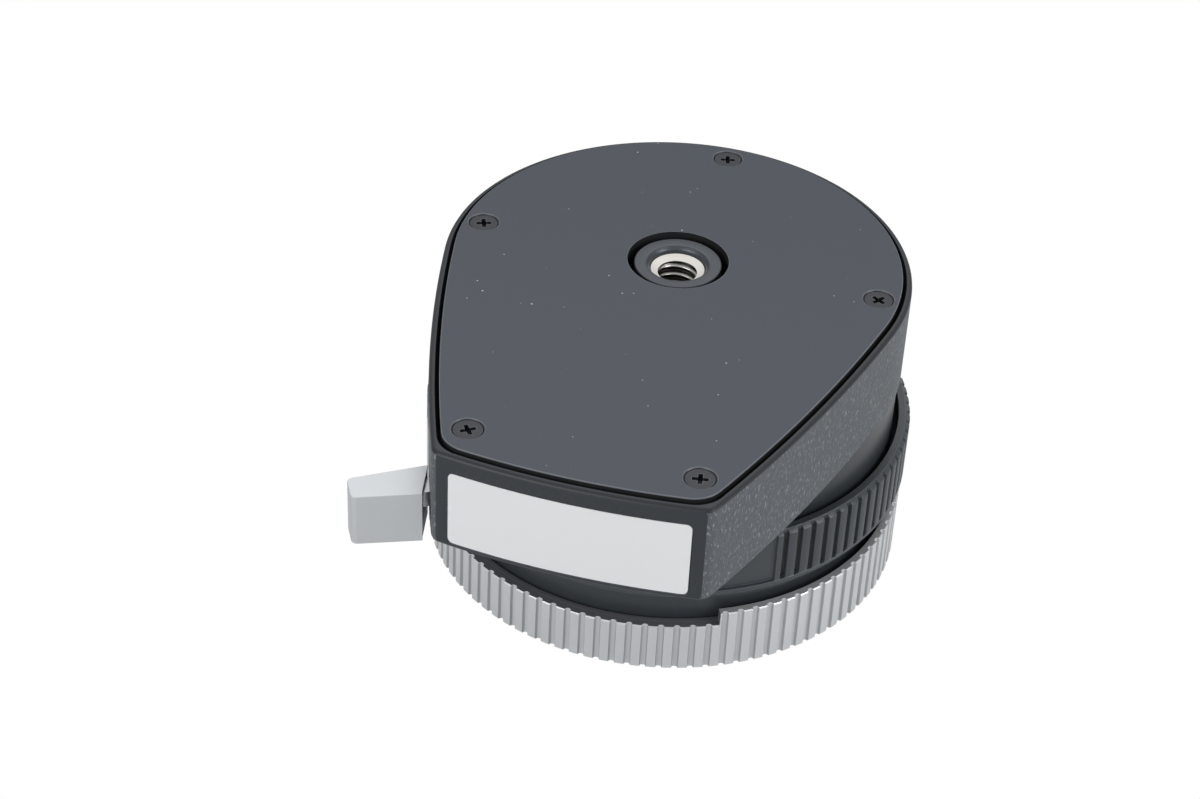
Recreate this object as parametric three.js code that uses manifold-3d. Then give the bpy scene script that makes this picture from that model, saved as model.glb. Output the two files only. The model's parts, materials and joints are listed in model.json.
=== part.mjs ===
// Panoramic tripod head, standing on its camera platform with the tripod face up.
// The pan axis is Z, the pointed end of the housing looks along -Y, and the pad rests on Z = 0.
import * as THREE from 'three';
import { mergeVertices } from 'three/addons/utils/BufferGeometryUtils.js';
import Module from 'manifold-3d';

const wasm = await Module();
wasm.setup();

const degree = Math.PI / 180;
const turn = 2 * Math.PI;

// Fits shared by all pieces
const overrun = 0.72;
const seat = 0.04;
const slidingFit = 0.11;
const runningFit = 0.22;

// Heights of the stack, from the pad upwards
const padThickness = 0.72;
const padProud = 0.58;
const platformThickness = 3.04;
const panRingHeight = 8.84;
const windowDrop = 1.89;
const selectorBottom = 12.32;
const selectorHeight = 8.92;
const neckBottom = 5.51;
const housingBottom = 27.91;
const housingHeight = 13.7;
const coverProud = 0.43;
const coverThickness = 1.74;

const housingTop = housingBottom + housingHeight;
const coverTop = housingTop + coverProud;
const coverBottom = coverTop - coverThickness;
const panRingBottom = padProud;
const panRingTop = panRingBottom + panRingHeight;
const platformBottom = padThickness + seat;
const platformTop = platformBottom + platformThickness;
const selectorTop = selectorBottom + selectorHeight;

// Teardrop outline of the cover plate, seen along Z
const plateArcRadius = 28.78;
const plateSideRadius = 224.75;
const plateNoseRadius = 101.5;
const plateReach = 47.49;
const plateCornerRadius = 4.06;
const sideTangentAngle = 11.5 * degree;
const coverGap = 0.43;
const coverEdgeRound = 0.18;
const rimWidth = 0.83;
const wallThickness = 1.89;
const floorThickness = 1.81;
const housingCornerRadius = 1.74;
const cavityCornerRadius = 1.45;
const housingEdgeRound = 0.8;
const outerGrow = coverGap + rimWidth;

// Cover screws
const coverScrewInset = 2.61;
const noseScrewShift = { outwards: 0.99, inwards: 0.07 };
const coverScrewCircle = plateArcRadius - coverScrewInset;
const coverScrewHead = { radius: 1.85, height: 0.98, sunk: 0.09 };
const crossRecess = { reachShare: 0.62, bladeShare: 0.11, depthShare: 0.7 };
const headRimShare = 1 / 6;
const headSlotShare = 1 / 6;
const coverScrewShank = { radius: 0.91, length: 5.8 };
const pillarRadius = 2.25;
const nosePillar = { radius: 3.19, bottom: 33.93 };

// Tripod socket
const coverHoleRadius = 6.52;
const bossRadius = 5.62;
const bossBelowCover = 0.47;
const bushBelowBoss = 0.94;
const mouthRadius = 4.02;
const bushRadius = 3.75;
const bushBore = 3.18;
const bushLength = 8.12;
const bushChamfer = 0.25;
const driverHoleRadius = 1.89;

// Spindle, its foot on the housing floor and its nut
const spindleRadius = 5.08;
const spindleFoot = { flange: 4.89, height: 2.17 };
const spindleFootRadius = bossRadius + spindleFoot.flange;
const spindleThread = { radius: 4.35, length: 2.25 };
const spindleEnd = 9.35;
const spindleScrewGap = 2.65;
const spindleScrewCircle = bossRadius + spindleScrewGap;
const nutAcrossFlats = 10.88;
const nutHeight = 2.1;
const washerRadius = 6.82;

// Neck, a little narrower than the round back of the housing that it hangs from
const neckStepIn = 0.33;
const neckWall = 1.16;
const neckRadius = plateArcRadius + outerGrow - neckStepIn;
const neckBore = neckRadius - neckWall;
const neckBossInset = 1.89;
const neckBossCircle = neckBore - neckBossInset;
const neckBossRadius = 2.17;
const neckBossHeight = 6.52;

// Grip ring around the neck
const gripGap = 0.72;
const gripWall = 1.59;
const gripBore = neckRadius + gripGap;
const gripRadius = gripBore + gripWall;
const gripSmoothInset = 0.43;
const gripSmoothRadius = gripRadius - gripSmoothInset;
const gripTopFace = 1.01;
const gripBoreDepth = 2.03;
const gripBoreTaper = 1.01;
const gripChamfer = 0.58;
const gripFlangeHeight = 1.3;
const gripFlangeLip = 0.91;
const gripSlots = { pitch: 3.67 * degree, first: 42.5 * degree, count: 76, width: 0.83, depth: 0.54 };

// Silver finger tab let into the grip ring
const tabAngle = 199.4 * degree;
const tabWidth = 7.25;
const tabBottom = 9.68;
const tabTop = 17.62;
const tabEndRound = 1.74;
const tabProud = 0.04;
const tabThickness = 1.09;
const tabFace = gripRadius + tabProud;
const tabBack = tabFace - tabThickness;

// Selector pins and the ramp that lifts the click carrier
const selectorTravel = 60 * degree;
const selectorPinRadius = 0.87;
const selectorPinHeight = 14.06;
const selectorPinAngles = [20 * degree, 140 * degree, 260 * degree];
const rampWall = 0.87;
const rampBottom = 12.61;
const rampLow = 15.51;
const rampRise = 4.35;
const rampLead = 8 * degree;
const rampRadius = neckBore - runningFit;
const rampBore = rampRadius - rampWall;

// Scale ring around the neck and the silver pan ring that holds it, with its reading window
const scaleRingGap = 0.25;
const scaleRingWall = 0.72;
const scaleRingRadius = neckRadius + scaleRingGap + scaleRingWall;
const panWall = 1.09;
const panBore = scaleRingRadius + seat;
const panRadius = panBore + panWall;
const flutes = { count: 98, width: 0.8, depth: 0.36 };
const windowStart = -62 * degree;
const windowEnd = 28.2 * degree;
const panFlange = { width: 3.26, height: 1.09 };

// Platform let into the pan ring, its pad and their screws
const platformInset = 1.45;
const platformRadius = neckRadius - platformInset;
const padInset = 0.72;
const padRadius = platformRadius - padInset;
const padHoleRadius = 3.9;
const ringScrewInset = 1.74;
const ringScrewCircle = platformRadius - ringScrewInset;
const platformScrew = { head: 2.1, headHeight: 1.16, shank: 1.05, length: 4.64 };
const ringScrew = { head: 1.38, headHeight: 0.72, shank: 0.69, length: 3.62 };

// Pan hub with its click discs and bearings
const hubFlange = { gap: 4.35, height: 2.32 };
const panFlangeBore = platformRadius - panFlange.width;
const hubFlangeRadius = panFlangeBore - hubFlange.gap;
const platformScrewInset = 3.26;
const platformScrewCircle = hubFlangeRadius - platformScrewInset;
const hubShoulder = 10.88;
const hubRadius = 9.42;
const hubTop = 26.39;
const hubWellRadius = 7.68;
const hubWellTop = 12.47;
const bushWall = 1.3;
const plainBushLength = 4.35;
const discThickness = 1.09;
const discPitch = 2.17;
const discFirst = 17.4;
const discNotchRadius = 1.16;
const discNotchDepth = 0.72;
const discNotchCounts = [8, 12, 24];
const discCollar = 11.6;
const clampRing = { wall: 2.9, height: 1.01 };

// Drop pin of the lever, and from it inwards the plunger, the click carrier and the discs
const dropPin = { radius: 0.87, bottom: 16.39, inset: 1.81 };
const dropPinPlace = new THREE.Vector2(0, dropPin.inset - rampBore);
const plungerTail = { wall: 0.8, right: 2.32, thickness: 2.17, inset: 1.59 };
const tailFront = -dropPinPlace.y - plungerTail.inset;
const carrier = { width: 10.15, depth: 3.62, height: 5.08, tailGap: 1.67 };
const carrierBack = tailFront - carrier.tailGap;
const carrierFront = carrierBack - carrier.depth;
const discGap = 0.65;
const discRadius = carrierFront - discGap;
const carrierToe = { width: 1.45, offset: 4.06, thickness: 0.87 };
const guidePost = { radius: 0.87, offset: 3.62, bottom: 13.34 };
const sleeve = { radius: 1.67, wall: 0.51, floor: 0.36, inset: 1.16 };
const sleeveFront = carrierFront + sleeve.inset;
const detentTip = { inset: 0.43, cone: 0.94, length: 2.03, endShare: 0.4 };
const tipFront = carrierFront + detentTip.inset;
const detentWire = 0.18;

// Lever that draws the plunger, worked from its pivot inside the housing
const leverPivotShift = { beyondLevel: 1.96, inwards: 3.19 };
const leverDirection = 209 * degree;
const leverTravel = 10 * degree;
const leverArm = { width: 2.75, thickness: 2.17, lift: 0.72, eye: 2.46 };
const leverPin = { radius: 1.16, head: 2.17, headHeight: 0.65 };
const handle = { start: 10.15, length: 9.64, inner: 5.58, outer: 3.7, bottom: 26.25, height: 7.11, round: 0.65 };

// Name plate let into the nose
const namePlate = { beyondScrew: 0.72, height: 10.37, bottom: 28.78, thickness: 0.33, corner: 0.72, recess: 0.36 };

// Spirit level under the nose
const level = { bezel: 5.37, glass: 4.06, wallGap: 0.54, proud: 0.22, cap: 0.43, domeShare: 0.6 };
const levelReach = plateReach + outerGrow - wallThickness - level.wallGap - level.bezel;
const levelDepth = floorThickness + leverArm.lift - runningFit;

// Camera screw
const cameraScrew = { radius: 3.1, reach: 7.6, chamfer: 0.45, head: 5, headHeight: 1.5, slot: 1 };
const cameraSpring = { topRadius: 3.7, footRadius: 6, wire: 0.3, turns: 4 };

// Facet counts
const fine = 48;
const medium = 24;
const coarse = 8;
const screwFacets = 12;
const pinFacets = 16;
const rampFacets = 17;
const swingFacets = 3;
const notchFacets = 3;
const sectorStep = 5 * degree;
const grooveFloorShare = 0.5;
const coilFacets = { turn: 8, section: 4 };
const arcFacets = { back: 32, side: 4, corner: 4, nose: 6 };

const group = new THREE.Group();

// A closed mesh as a solid, with its shared corners merged and its faces turned outwards
function solid(geometry) {
  const bare = geometry.index ? geometry.toNonIndexed() : geometry.clone();
  for (const name of Object.keys(bare.attributes)) {
    if (name !== 'position') bare.deleteAttribute(name);
  }
  const merged = mergeVertices(bare, overrun / 1e5);
  const place = merged.attributes.position;
  const triVerts = [];
  const corner = [new THREE.Vector3(), new THREE.Vector3(), new THREE.Vector3()];
  let volume = 0;
  for (let i = 0; i < merged.index.count; i += 3) {
    const ids = [0, 1, 2].map((k) => merged.index.getX(i + k));
    if (ids[0] === ids[1] || ids[1] === ids[2] || ids[2] === ids[0]) continue;
    ids.forEach((id, k) => corner[k].fromBufferAttribute(place, id));
    volume += corner[0].dot(corner[1].clone().cross(corner[2]));
    triVerts.push(...ids);
  }
  if (volume < 0) {
    for (let i = 0; i < triVerts.length; i += 3) {
      [triVerts[i + 1], triVerts[i + 2]] = [triVerts[i + 2], triVerts[i + 1]];
    }
  }
  return new wasm.Manifold(new wasm.Mesh({
    numProp: 3,
    vertProperties: Float32Array.from(place.array),
    triVerts: Uint32Array.from(triVerts),
  }));
}

// A solid back as a geometry that can be drawn
function geometryOf(body) {
  const mesh = body.getMesh();
  const geometry = new THREE.BufferGeometry();
  const places = new Float32Array(mesh.numVert * 3);
  for (let i = 0; i < mesh.numVert; i += 1) {
    for (let k = 0; k < 3; k += 1) places[i * 3 + k] = mesh.vertProperties[i * mesh.numProp + k];
  }
  geometry.setAttribute('position', new THREE.BufferAttribute(places, 3));
  geometry.setIndex(new THREE.BufferAttribute(Uint32Array.from(mesh.triVerts), 1));
  return geometry;
}

function add(name, body, color, roughness, metalness) {
  const geometry = geometryOf(body);
  geometry.computeVertexNormals();
  const material = new THREE.MeshStandardMaterial({ color, roughness, metalness });
  const mesh = new THREE.Mesh(geometry, material);
  mesh.name = name;
  group.add(mesh);
}

// A solid of revolution about Z from [radius, height] corners
function revolve(corners, segments = medium) {
  const points = corners.map(([r, z]) => new THREE.Vector2(r, z));
  const [first] = points;
  const last = points[points.length - 1];
  if (first.x > 0 || last.x > 0) points.push(first.clone());
  return solid(new THREE.LatheGeometry(points, segments).rotateX(Math.PI / 2));
}

function disc(radius, bottom, top, segments = medium) {
  return revolve([[0, bottom], [radius, bottom], [radius, top], [0, top]], segments);
}

function tube(bore, radius, bottom, top, segments = medium) {
  return revolve([[bore, bottom], [radius, bottom], [radius, top], [bore, top]], segments);
}

function prism(shape, bottom, top, curveSegments = coarse) {
  const options = { depth: top - bottom, bevelEnabled: false, curveSegments };
  return solid(new THREE.ExtrudeGeometry(shape, options).translate(0, 0, bottom));
}

function block(x0, x1, y0, y1, z0, z1) {
  const geometry = new THREE.BoxGeometry(x1 - x0, y1 - y0, z1 - z0);
  return solid(geometry.translate((x0 + x1) / 2, (y0 + y1) / 2, (z0 + z1) / 2));
}

function at(body, x, y, z = 0) {
  return body.translate([x, y, z]);
}

function spin(body, angle) {
  return body.rotate([0, 0, angle / degree]);
}

function onCircle(radius, angle) {
  return new THREE.Vector2(radius * Math.cos(angle), radius * Math.sin(angle));
}

// Points along an arc, without its last one
function arc(centre, radius, from, to, steps) {
  const points = [];
  for (let i = 0; i < steps; i += 1) {
    points.push(onCircle(radius, from + ((to - from) * i) / steps).add(centre));
  }
  return points;
}

function join(bodies) {
  return bodies.reduce((whole, body) => whole.add(body));
}

// Copies of one piece, numbered from 1
function addEach(name, bodies, color, roughness, metalness) {
  bodies.forEach((body, i) => add(`${name}_${i + 1}`, body, color, roughness, metalness));
}

// Wedge of a disc between two angles, used to cut sectors out of rings
function sector(radius, from, to, bottom, top) {
  const steps = Math.ceil((to - from) / sectorStep);
  const middle = new THREE.Vector2();
  const rim = arc(middle, radius, from, to, steps);
  return prism(new THREE.Shape([middle, ...rim, onCircle(radius, to)]), bottom, top);
}

// Centres of the bowed sides and nose, from the right side, and of the corner between them
const sideCentre = onCircle(plateArcRadius - plateSideRadius, -sideTangentAngle);
const noseCentre = new THREE.Vector2(0, plateNoseRadius - plateReach);
function cornerCentre(grow, cornerRadius) {
  const fromSide = plateSideRadius + grow - cornerRadius;
  const fromNose = plateNoseRadius + grow - cornerRadius;
  const apart = noseCentre.clone().sub(sideCentre);
  const distance = apart.length();
  const along = (fromSide ** 2 - fromNose ** 2 + distance ** 2) / (2 * distance);
  const across = Math.sqrt(fromSide ** 2 - along ** 2);
  const unit = apart.normalize();
  const normal = new THREE.Vector2(unit.y, -unit.x);
  return sideCentre.clone().addScaledVector(unit, along).addScaledVector(normal, across);
}

// Teardrop: a round back, two long convex sides, a bowed nose and two rounded corners
function teardrop(grow, cornerRadius) {
  const back = plateArcRadius + grow;
  const side = plateSideRadius + grow;
  const nose = plateNoseRadius + grow;
  const corner = cornerCentre(grow, cornerRadius);
  const sideEnd = corner.clone().sub(sideCentre).angle();
  const noseEnd = corner.clone().sub(noseCentre).angle();
  const mirrored = (angle) => 3 * Math.PI - angle;
  const leftSide = new THREE.Vector2(-sideCentre.x, sideCentre.y);
  const leftCorner = new THREE.Vector2(-corner.x, corner.y);
  return new THREE.Shape([
    ...arc(new THREE.Vector2(), back, -sideTangentAngle, Math.PI + sideTangentAngle, arcFacets.back),
    ...arc(leftSide, side, Math.PI + sideTangentAngle, mirrored(sideEnd), arcFacets.side),
    ...arc(leftCorner, cornerRadius, mirrored(sideEnd), mirrored(noseEnd), arcFacets.corner),
    ...arc(noseCentre, nose, mirrored(noseEnd), noseEnd, arcFacets.nose),
    ...arc(corner, cornerRadius, noseEnd, sideEnd, arcFacets.corner),
    ...arc(sideCentre, side, sideEnd, turn - sideTangentAngle, arcFacets.side),
  ]);
}

function teardropSolid(grow, cornerRadius, bottom, top, round = 0) {
  const options = {
    depth: top - bottom - 2 * round,
    bevelEnabled: round > 0,
    bevelThickness: round,
    bevelSize: round,
    bevelOffset: -round,
    bevelSegments: round > coverEdgeRound ? 2 : 1,
  };
  const geometry = new THREE.ExtrudeGeometry(teardrop(grow, cornerRadius), options);
  return solid(geometry.translate(0, 0, bottom + round));
}

// A countersunk screw with a cross recess, head up, its head face at Z = 0
function crossScrew(head, headHeight, shank, length, segments = screwFacets) {
  const body = revolve([
    [0, -length], [shank, -length], [shank, -headHeight],
    [head, -headHeight * headRimShare], [head, 0], [0, 0],
  ], segments);
  const arm = head * crossRecess.reachShare;
  const blade = head * crossRecess.bladeShare;
  const deep = headHeight * crossRecess.depthShare;
  const cross = block(-arm, arm, -blade, blade, -deep, overrun).add(
    block(-blade, blade, -arm, arm, -deep, overrun));
  return body.subtract(cross);
}

function countersink(head, headHeight, shank, length) {
  return revolve([
    [0, -length - overrun], [shank, -length - overrun], [shank, -headHeight],
    [head, -headHeight * headRimShare], [head, overrun], [0, overrun],
  ], screwFacets);
}

// Places that follow the corner of the nose
const plateCorner = cornerCentre(0, plateCornerRadius);
const noseScrew = new THREE.Vector2(noseScrewShift.outwards, noseScrewShift.inwards).add(plateCorner);
const leverPivot = new THREE.Vector2(-level.bezel - leverArm.eye - leverPivotShift.beyondLevel,
  leverPivotShift.inwards - levelReach);
const pinArm = dropPinPlace.clone().sub(leverPivot);
const pinSwing = pinArm.y * Math.sin(leverTravel) + pinArm.x * (1 - Math.cos(leverTravel));
const namePlateWidth = 2 * (noseScrew.x + namePlate.beyondScrew);
const carrierMiddle = -(carrierFront + carrierBack) / 2;
const coverScrewPlaces = [
  new THREE.Vector2(0, coverScrewCircle),
  new THREE.Vector2(-coverScrewCircle, 0),
  new THREE.Vector2(coverScrewCircle, 0),
  new THREE.Vector2(-noseScrew.x, noseScrew.y),
  noseScrew,
];
const floorTop = housingBottom + floorThickness;
const ledge = coverBottom - seat;
const neckScrewAngles = [10 * degree, 130 * degree, 250 * degree];
const spindleScrewAngles = [30 * degree, 150 * degree, 270 * degree];
const leverArmBottom = floorTop + leverArm.lift;
const leverArmTop = leverArmBottom + leverArm.thickness;
const guideSlot = dropPin.radius + 2 * runningFit;

// The path of the drop pin as the lever swings, as a slot through the floor
function dropPinSlot(bottom, top) {
  const holes = [];
  for (let i = 0; i <= swingFacets; i += 1) {
    const swung = pinArm.clone().rotateAround(new THREE.Vector2(), (leverTravel * i) / swingFacets);
    const place = swung.add(leverPivot);
    holes.push(at(disc(guideSlot, bottom, top, coarse), place.x, place.y));
  }
  return join(holes);
}

// Window in the side wall where the lever arm passes, as wide as its swing
function leverWallSlot() {
  const half = leverArm.width / 2 + runningFit;
  const reach = handle.start + handle.length / 2;
  const slots = [0, 0.5, 1].map((share) => {
    const slot = block(handle.start / 2, reach, -half, half,
      leverArmBottom - runningFit, leverArmTop + runningFit);
    return at(spin(slot, leverDirection + leverTravel * share), leverPivot.x, leverPivot.y);
  });
  return join(slots);
}

// Housing: a teardrop box, open on the tripod side, with screw pillars on its floor
function housing() {
  const outside = teardropSolid(outerGrow, housingCornerRadius, housingBottom, housingTop, housingEdgeRound);
  const recess = teardropSolid(coverGap, plateCornerRadius, ledge, housingTop + overrun);
  const cavityGrow = outerGrow - wallThickness;
  const cavity = teardropSolid(cavityGrow, cavityCornerRadius, floorTop, housingTop + overrun);
  const pillars = join(coverScrewPlaces.map((place) => {
    const onNose = place.y < -coverScrewCircle;
    const bottom = onNose ? nosePillar.bottom : floorTop - seat;
    return at(disc(onNose ? nosePillar.radius : pillarRadius, bottom, ledge, coarse), place.x, place.y);
  }));
  let body = outside.subtract(cavity).add(pillars.intersect(outside)).subtract(recess);
  const screwHole = disc(coverScrewShank.radius + seat, coverTop - coverScrewShank.length - overrun,
    housingTop + overrun, coarse);
  for (const place of coverScrewPlaces) body = body.subtract(at(screwHole, place.x, place.y));
  const through = [housingBottom - overrun, floorTop + overrun];
  body = body.subtract(disc(spindleRadius + slidingFit, ...through));
  const smallHole = disc(ringScrew.shank + seat, ...through, coarse);
  for (const angle of neckScrewAngles) {
    const place = onCircle(neckBossCircle, angle);
    body = body.subtract(at(smallHole, place.x, place.y));
  }
  for (const angle of spindleScrewAngles) {
    const place = onCircle(spindleScrewCircle, angle);
    body = body.subtract(at(smallHole, place.x, place.y));
  }
  body = body.subtract(dropPinSlot(...through)).subtract(leverWallSlot());
  body = body.subtract(at(disc(leverPin.radius + seat, ...through, coarse), leverPivot.x, leverPivot.y));
  for (const side of [-1, 1]) {
    const post = disc(guidePost.radius + seat, ...through, coarse);
    body = body.subtract(at(post, side * guidePost.offset, carrierMiddle));
  }
  body = body.subtract(at(disc(level.bezel + seat, ...through), 0, -levelReach));
  return body.subtract(namePlateSolid(seat, namePlate.recess + overrun));
}

// The name plate follows the bow of the nose; grown a little it is also its recess
function namePlateSolid(grow, outward = 0) {
  const half = namePlateWidth / 2 + grow;
  const r = namePlate.corner + grow;
  const bottom = namePlate.bottom - grow;
  const top = namePlate.bottom + namePlate.height + grow;
  const corners = [[half - r, bottom + r], [half - r, top - r], [r - half, top - r], [r - half, bottom + r]];
  const edge = corners.flatMap(([x, y], i) => {
    const from = ((i - 1) * Math.PI) / 2;
    const centre = new THREE.Vector2(x, y);
    return [...arc(centre, r, from, from + Math.PI / 2, 3), onCircle(r, from + Math.PI / 2).add(centre)];
  });
  const depth = plateReach + outerGrow + 2 * overrun;
  const options = { depth, bevelEnabled: false };
  const face = solid(new THREE.ExtrudeGeometry(new THREE.Shape(edge), options).rotateX(Math.PI / 2));
  const back = plateNoseRadius + outerGrow - namePlate.recess - grow;
  const front = back + (outward > 0 ? outward + grow : namePlate.thickness);
  const down = 1.5 * Math.PI;
  const spread = Math.asin(half / back) + overrun * degree;
  const outer = arc(noseCentre, front, down - spread, down + spread, arcFacets.nose);
  const inner = arc(noseCentre, back, down + spread, down - spread, arcFacets.nose);
  const outerEnd = onCircle(front, down + spread).add(noseCentre);
  const innerEnd = onCircle(back, down - spread).add(noseCentre);
  const bow = new THREE.Shape([...outer, outerEnd, ...inner, innerEnd]);
  return prism(bow, bottom - overrun, top + overrun).intersect(face);
}

add('housing', housing(), 0x4a4d50, 0.7, 0.1);
add('name_plate', namePlateSolid(0), 0xd5d8d9, 0.35, 0.6);

function baseCover() {
  let body = teardropSolid(0, plateCornerRadius, coverBottom, coverTop, coverEdgeRound);
  body = body.subtract(disc(coverHoleRadius, coverBottom - overrun, coverTop + overrun, fine));
  const hole = countersink(coverScrewHead.radius + slidingFit,
    coverScrewHead.height + coverScrewHead.sunk + slidingFit, coverScrewShank.radius + slidingFit,
    coverThickness);
  for (const place of coverScrewPlaces) body = body.subtract(at(hole, place.x, place.y, coverTop));
  return body;
}
add('base_cover', baseCover(), 0x565a60, 0.4, 0.5);

const coverScrewTurns = [4, 70, 38, 24, 88].map((angle) => angle * degree);
addEach('cover_screw', coverScrewPlaces.map((place, i) => {
  const screw = crossScrew(coverScrewHead.radius, coverScrewHead.height, coverScrewShank.radius - seat,
    coverScrewShank.length);
  return at(spin(screw, coverScrewTurns[i]), place.x, place.y, coverTop - coverScrewHead.sunk);
}), 0x33363a, 0.45, 0.7);

// Spindle: the dark boss in the cover, a foot on the floor and a shaft with a threaded end
const bossTop = coverTop - bossBelowCover;
const bushTop = bossTop - bushBelowBoss;
const bushBottom = bushTop - bushLength;
const footTop = floorTop + seat + spindleFoot.height;
function spindle() {
  const bushHole = bushRadius + seat;
  const outline = [
    [driverHoleRadius, spindleEnd],
    [spindleThread.radius, spindleEnd],
    [spindleThread.radius, spindleEnd + spindleThread.length],
    [spindleRadius, spindleEnd + spindleThread.length],
    [spindleRadius, floorTop + seat],
    [spindleFootRadius, floorTop + seat],
    [spindleFootRadius, footTop],
    [bossRadius, footTop],
    [bossRadius, bossTop],
    [mouthRadius, bossTop],
    [bushHole, bushTop],
    [bushHole, bushBottom - seat],
    [driverHoleRadius, bushBottom - seat],
  ];
  let body = revolve(outline, medium);
  for (const angle of spindleScrewAngles) {
    const place = onCircle(spindleScrewCircle, angle);
    const hole = disc(ringScrew.shank + slidingFit, floorTop, footTop + overrun, coarse);
    body = body.subtract(at(hole, place.x, place.y));
  }
  return body;
}
add('spindle', spindle(), 0x3c4043, 0.45, 0.7);

add('thread_bush', revolve([
  [bushBore, bushBottom], [bushRadius, bushBottom], [bushRadius, bushTop],
  [bushBore + bushChamfer, bushTop], [bushBore, bushTop - bushChamfer],
], medium), 0xd8d9d6, 0.2, 1);

// Pan-head screws that hold the spindle foot and the neck to the housing floor
function panScrew(headBottom, length) {
  const head = ringScrew.head;
  const top = headBottom + ringScrew.headHeight;
  const body = revolve([
    [0, headBottom - length], [ringScrew.shank, headBottom - length], [ringScrew.shank, headBottom],
    [head, headBottom], [head, top], [0, top],
  ], coarse);
  const slot = head * headSlotShare;
  const slotBottom = headBottom + ringScrew.headHeight / 2;
  return body.subtract(block(-head - overrun, head + overrun, -slot, slot, slotBottom, top + overrun));
}
function screwRing(screw, circle, angles) {
  return angles.map((angle) => {
    const place = onCircle(circle, angle);
    return at(screw, place.x, place.y);
  });
}
addEach('spindle_screw', screwRing(panScrew(footTop + seat, spindleFoot.height + floorThickness - seat),
  spindleScrewCircle, spindleScrewAngles), 0x8c9094, 0.35, 0.9);
addEach('neck_screw', screwRing(panScrew(floorTop + seat, floorThickness + neckBossHeight / 2),
  neckBossCircle, neckScrewAngles), 0x8c9094, 0.35, 0.9);

// Neck: a turned drum with three screw bosses and a slot for each selector pin
const neckTop = housingBottom - seat;
function neckDrum() {
  let body = tube(neckBore, neckRadius, neckBottom, neckTop, fine);
  const inner = disc(neckRadius - neckWall / 2, neckBottom, neckTop, fine);
  for (const angle of neckScrewAngles) {
    const place = onCircle(neckBossCircle, angle);
    const boss = disc(neckBossRadius, neckTop - neckBossHeight, neckTop, coarse);
    body = body.add(at(boss, place.x, place.y).intersect(inner));
    const hole = disc(ringScrew.shank + seat, neckTop - neckBossHeight / 2 - overrun, neckTop + overrun,
      coarse);
    body = body.subtract(at(hole, place.x, place.y));
  }
  const clearance = selectorPinRadius + runningFit;
  const margin = clearance / neckBore;
  for (const angle of selectorPinAngles) {
    const slot = sector(neckRadius + overrun, angle - margin, angle + selectorTravel + margin,
      selectorPinHeight - clearance, selectorPinHeight + clearance);
    body = body.subtract(slot.subtract(disc(neckBore - overrun, neckBottom, neckTop, coarse)));
  }
  return body;
}
add('neck_drum', neckDrum(), 0x43464b, 0.35, 0.6);

// Outline with evenly spaced round-bottomed grooves cut into it
function groovedOutline(radius, plainRadius, centres, width, depth) {
  const points = [];
  const half = width / 2 / radius;
  const floorHalf = half * grooveFloorShare;
  const rim = (angle, r) => points.push(onCircle(r, angle));
  const pitch = centres[1] - centres[0];
  const end = centres[0] + turn;
  for (const angle of centres) {
    rim(angle - half, radius);
    rim(angle - floorHalf, radius - depth);
    rim(angle + floorHalf, radius - depth);
    rim(angle + half, radius);
  }
  const last = centres[centres.length - 1];
  const steps = Math.round((end - last - pitch) / (2 * pitch));
  if (steps > 1) {
    rim(last + pitch / 2, radius);
    for (let i = 0; i <= steps; i += 1) {
      rim(last + pitch / 2 + ((end - last - pitch) * i) / steps, plainRadius);
    }
    rim(end - pitch / 2, radius);
  }
  return new THREE.Shape(points);
}

function tabOutline(grow) {
  const half = tabWidth / 2 + grow;
  const r = tabEndRound + grow;
  const low = tabBottom - grow;
  const high = tabTop + grow;
  const shape = new THREE.Shape();
  shape.absarc(half - r, low + r, r, -Math.PI / 2, 0, false);
  shape.absarc(half - r, high - r, r, 0, Math.PI / 2, false);
  shape.absarc(r - half, high - r, r, Math.PI / 2, Math.PI, false);
  shape.absarc(r - half, low + r, r, Math.PI, 1.5 * Math.PI, false);
  return shape;
}

// The tab as a curved key: its outline driven in radially, between two cylinders
function tabSolid(grow, back, front) {
  const depth = tabThickness * 4;
  const outline = new THREE.ExtrudeGeometry(tabOutline(grow), { depth, bevelEnabled: false, curveSegments: 4 });
  const face = at(solid(outline.rotateX(Math.PI / 2)), 0, depth / 2 - tabFace);
  const shell = tube(back, front, tabBottom - 2 * overrun, tabTop + 2 * overrun, fine);
  return spin(spin(face, 90 * degree).intersect(spin(shell, 0)), tabAngle);
}

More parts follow.
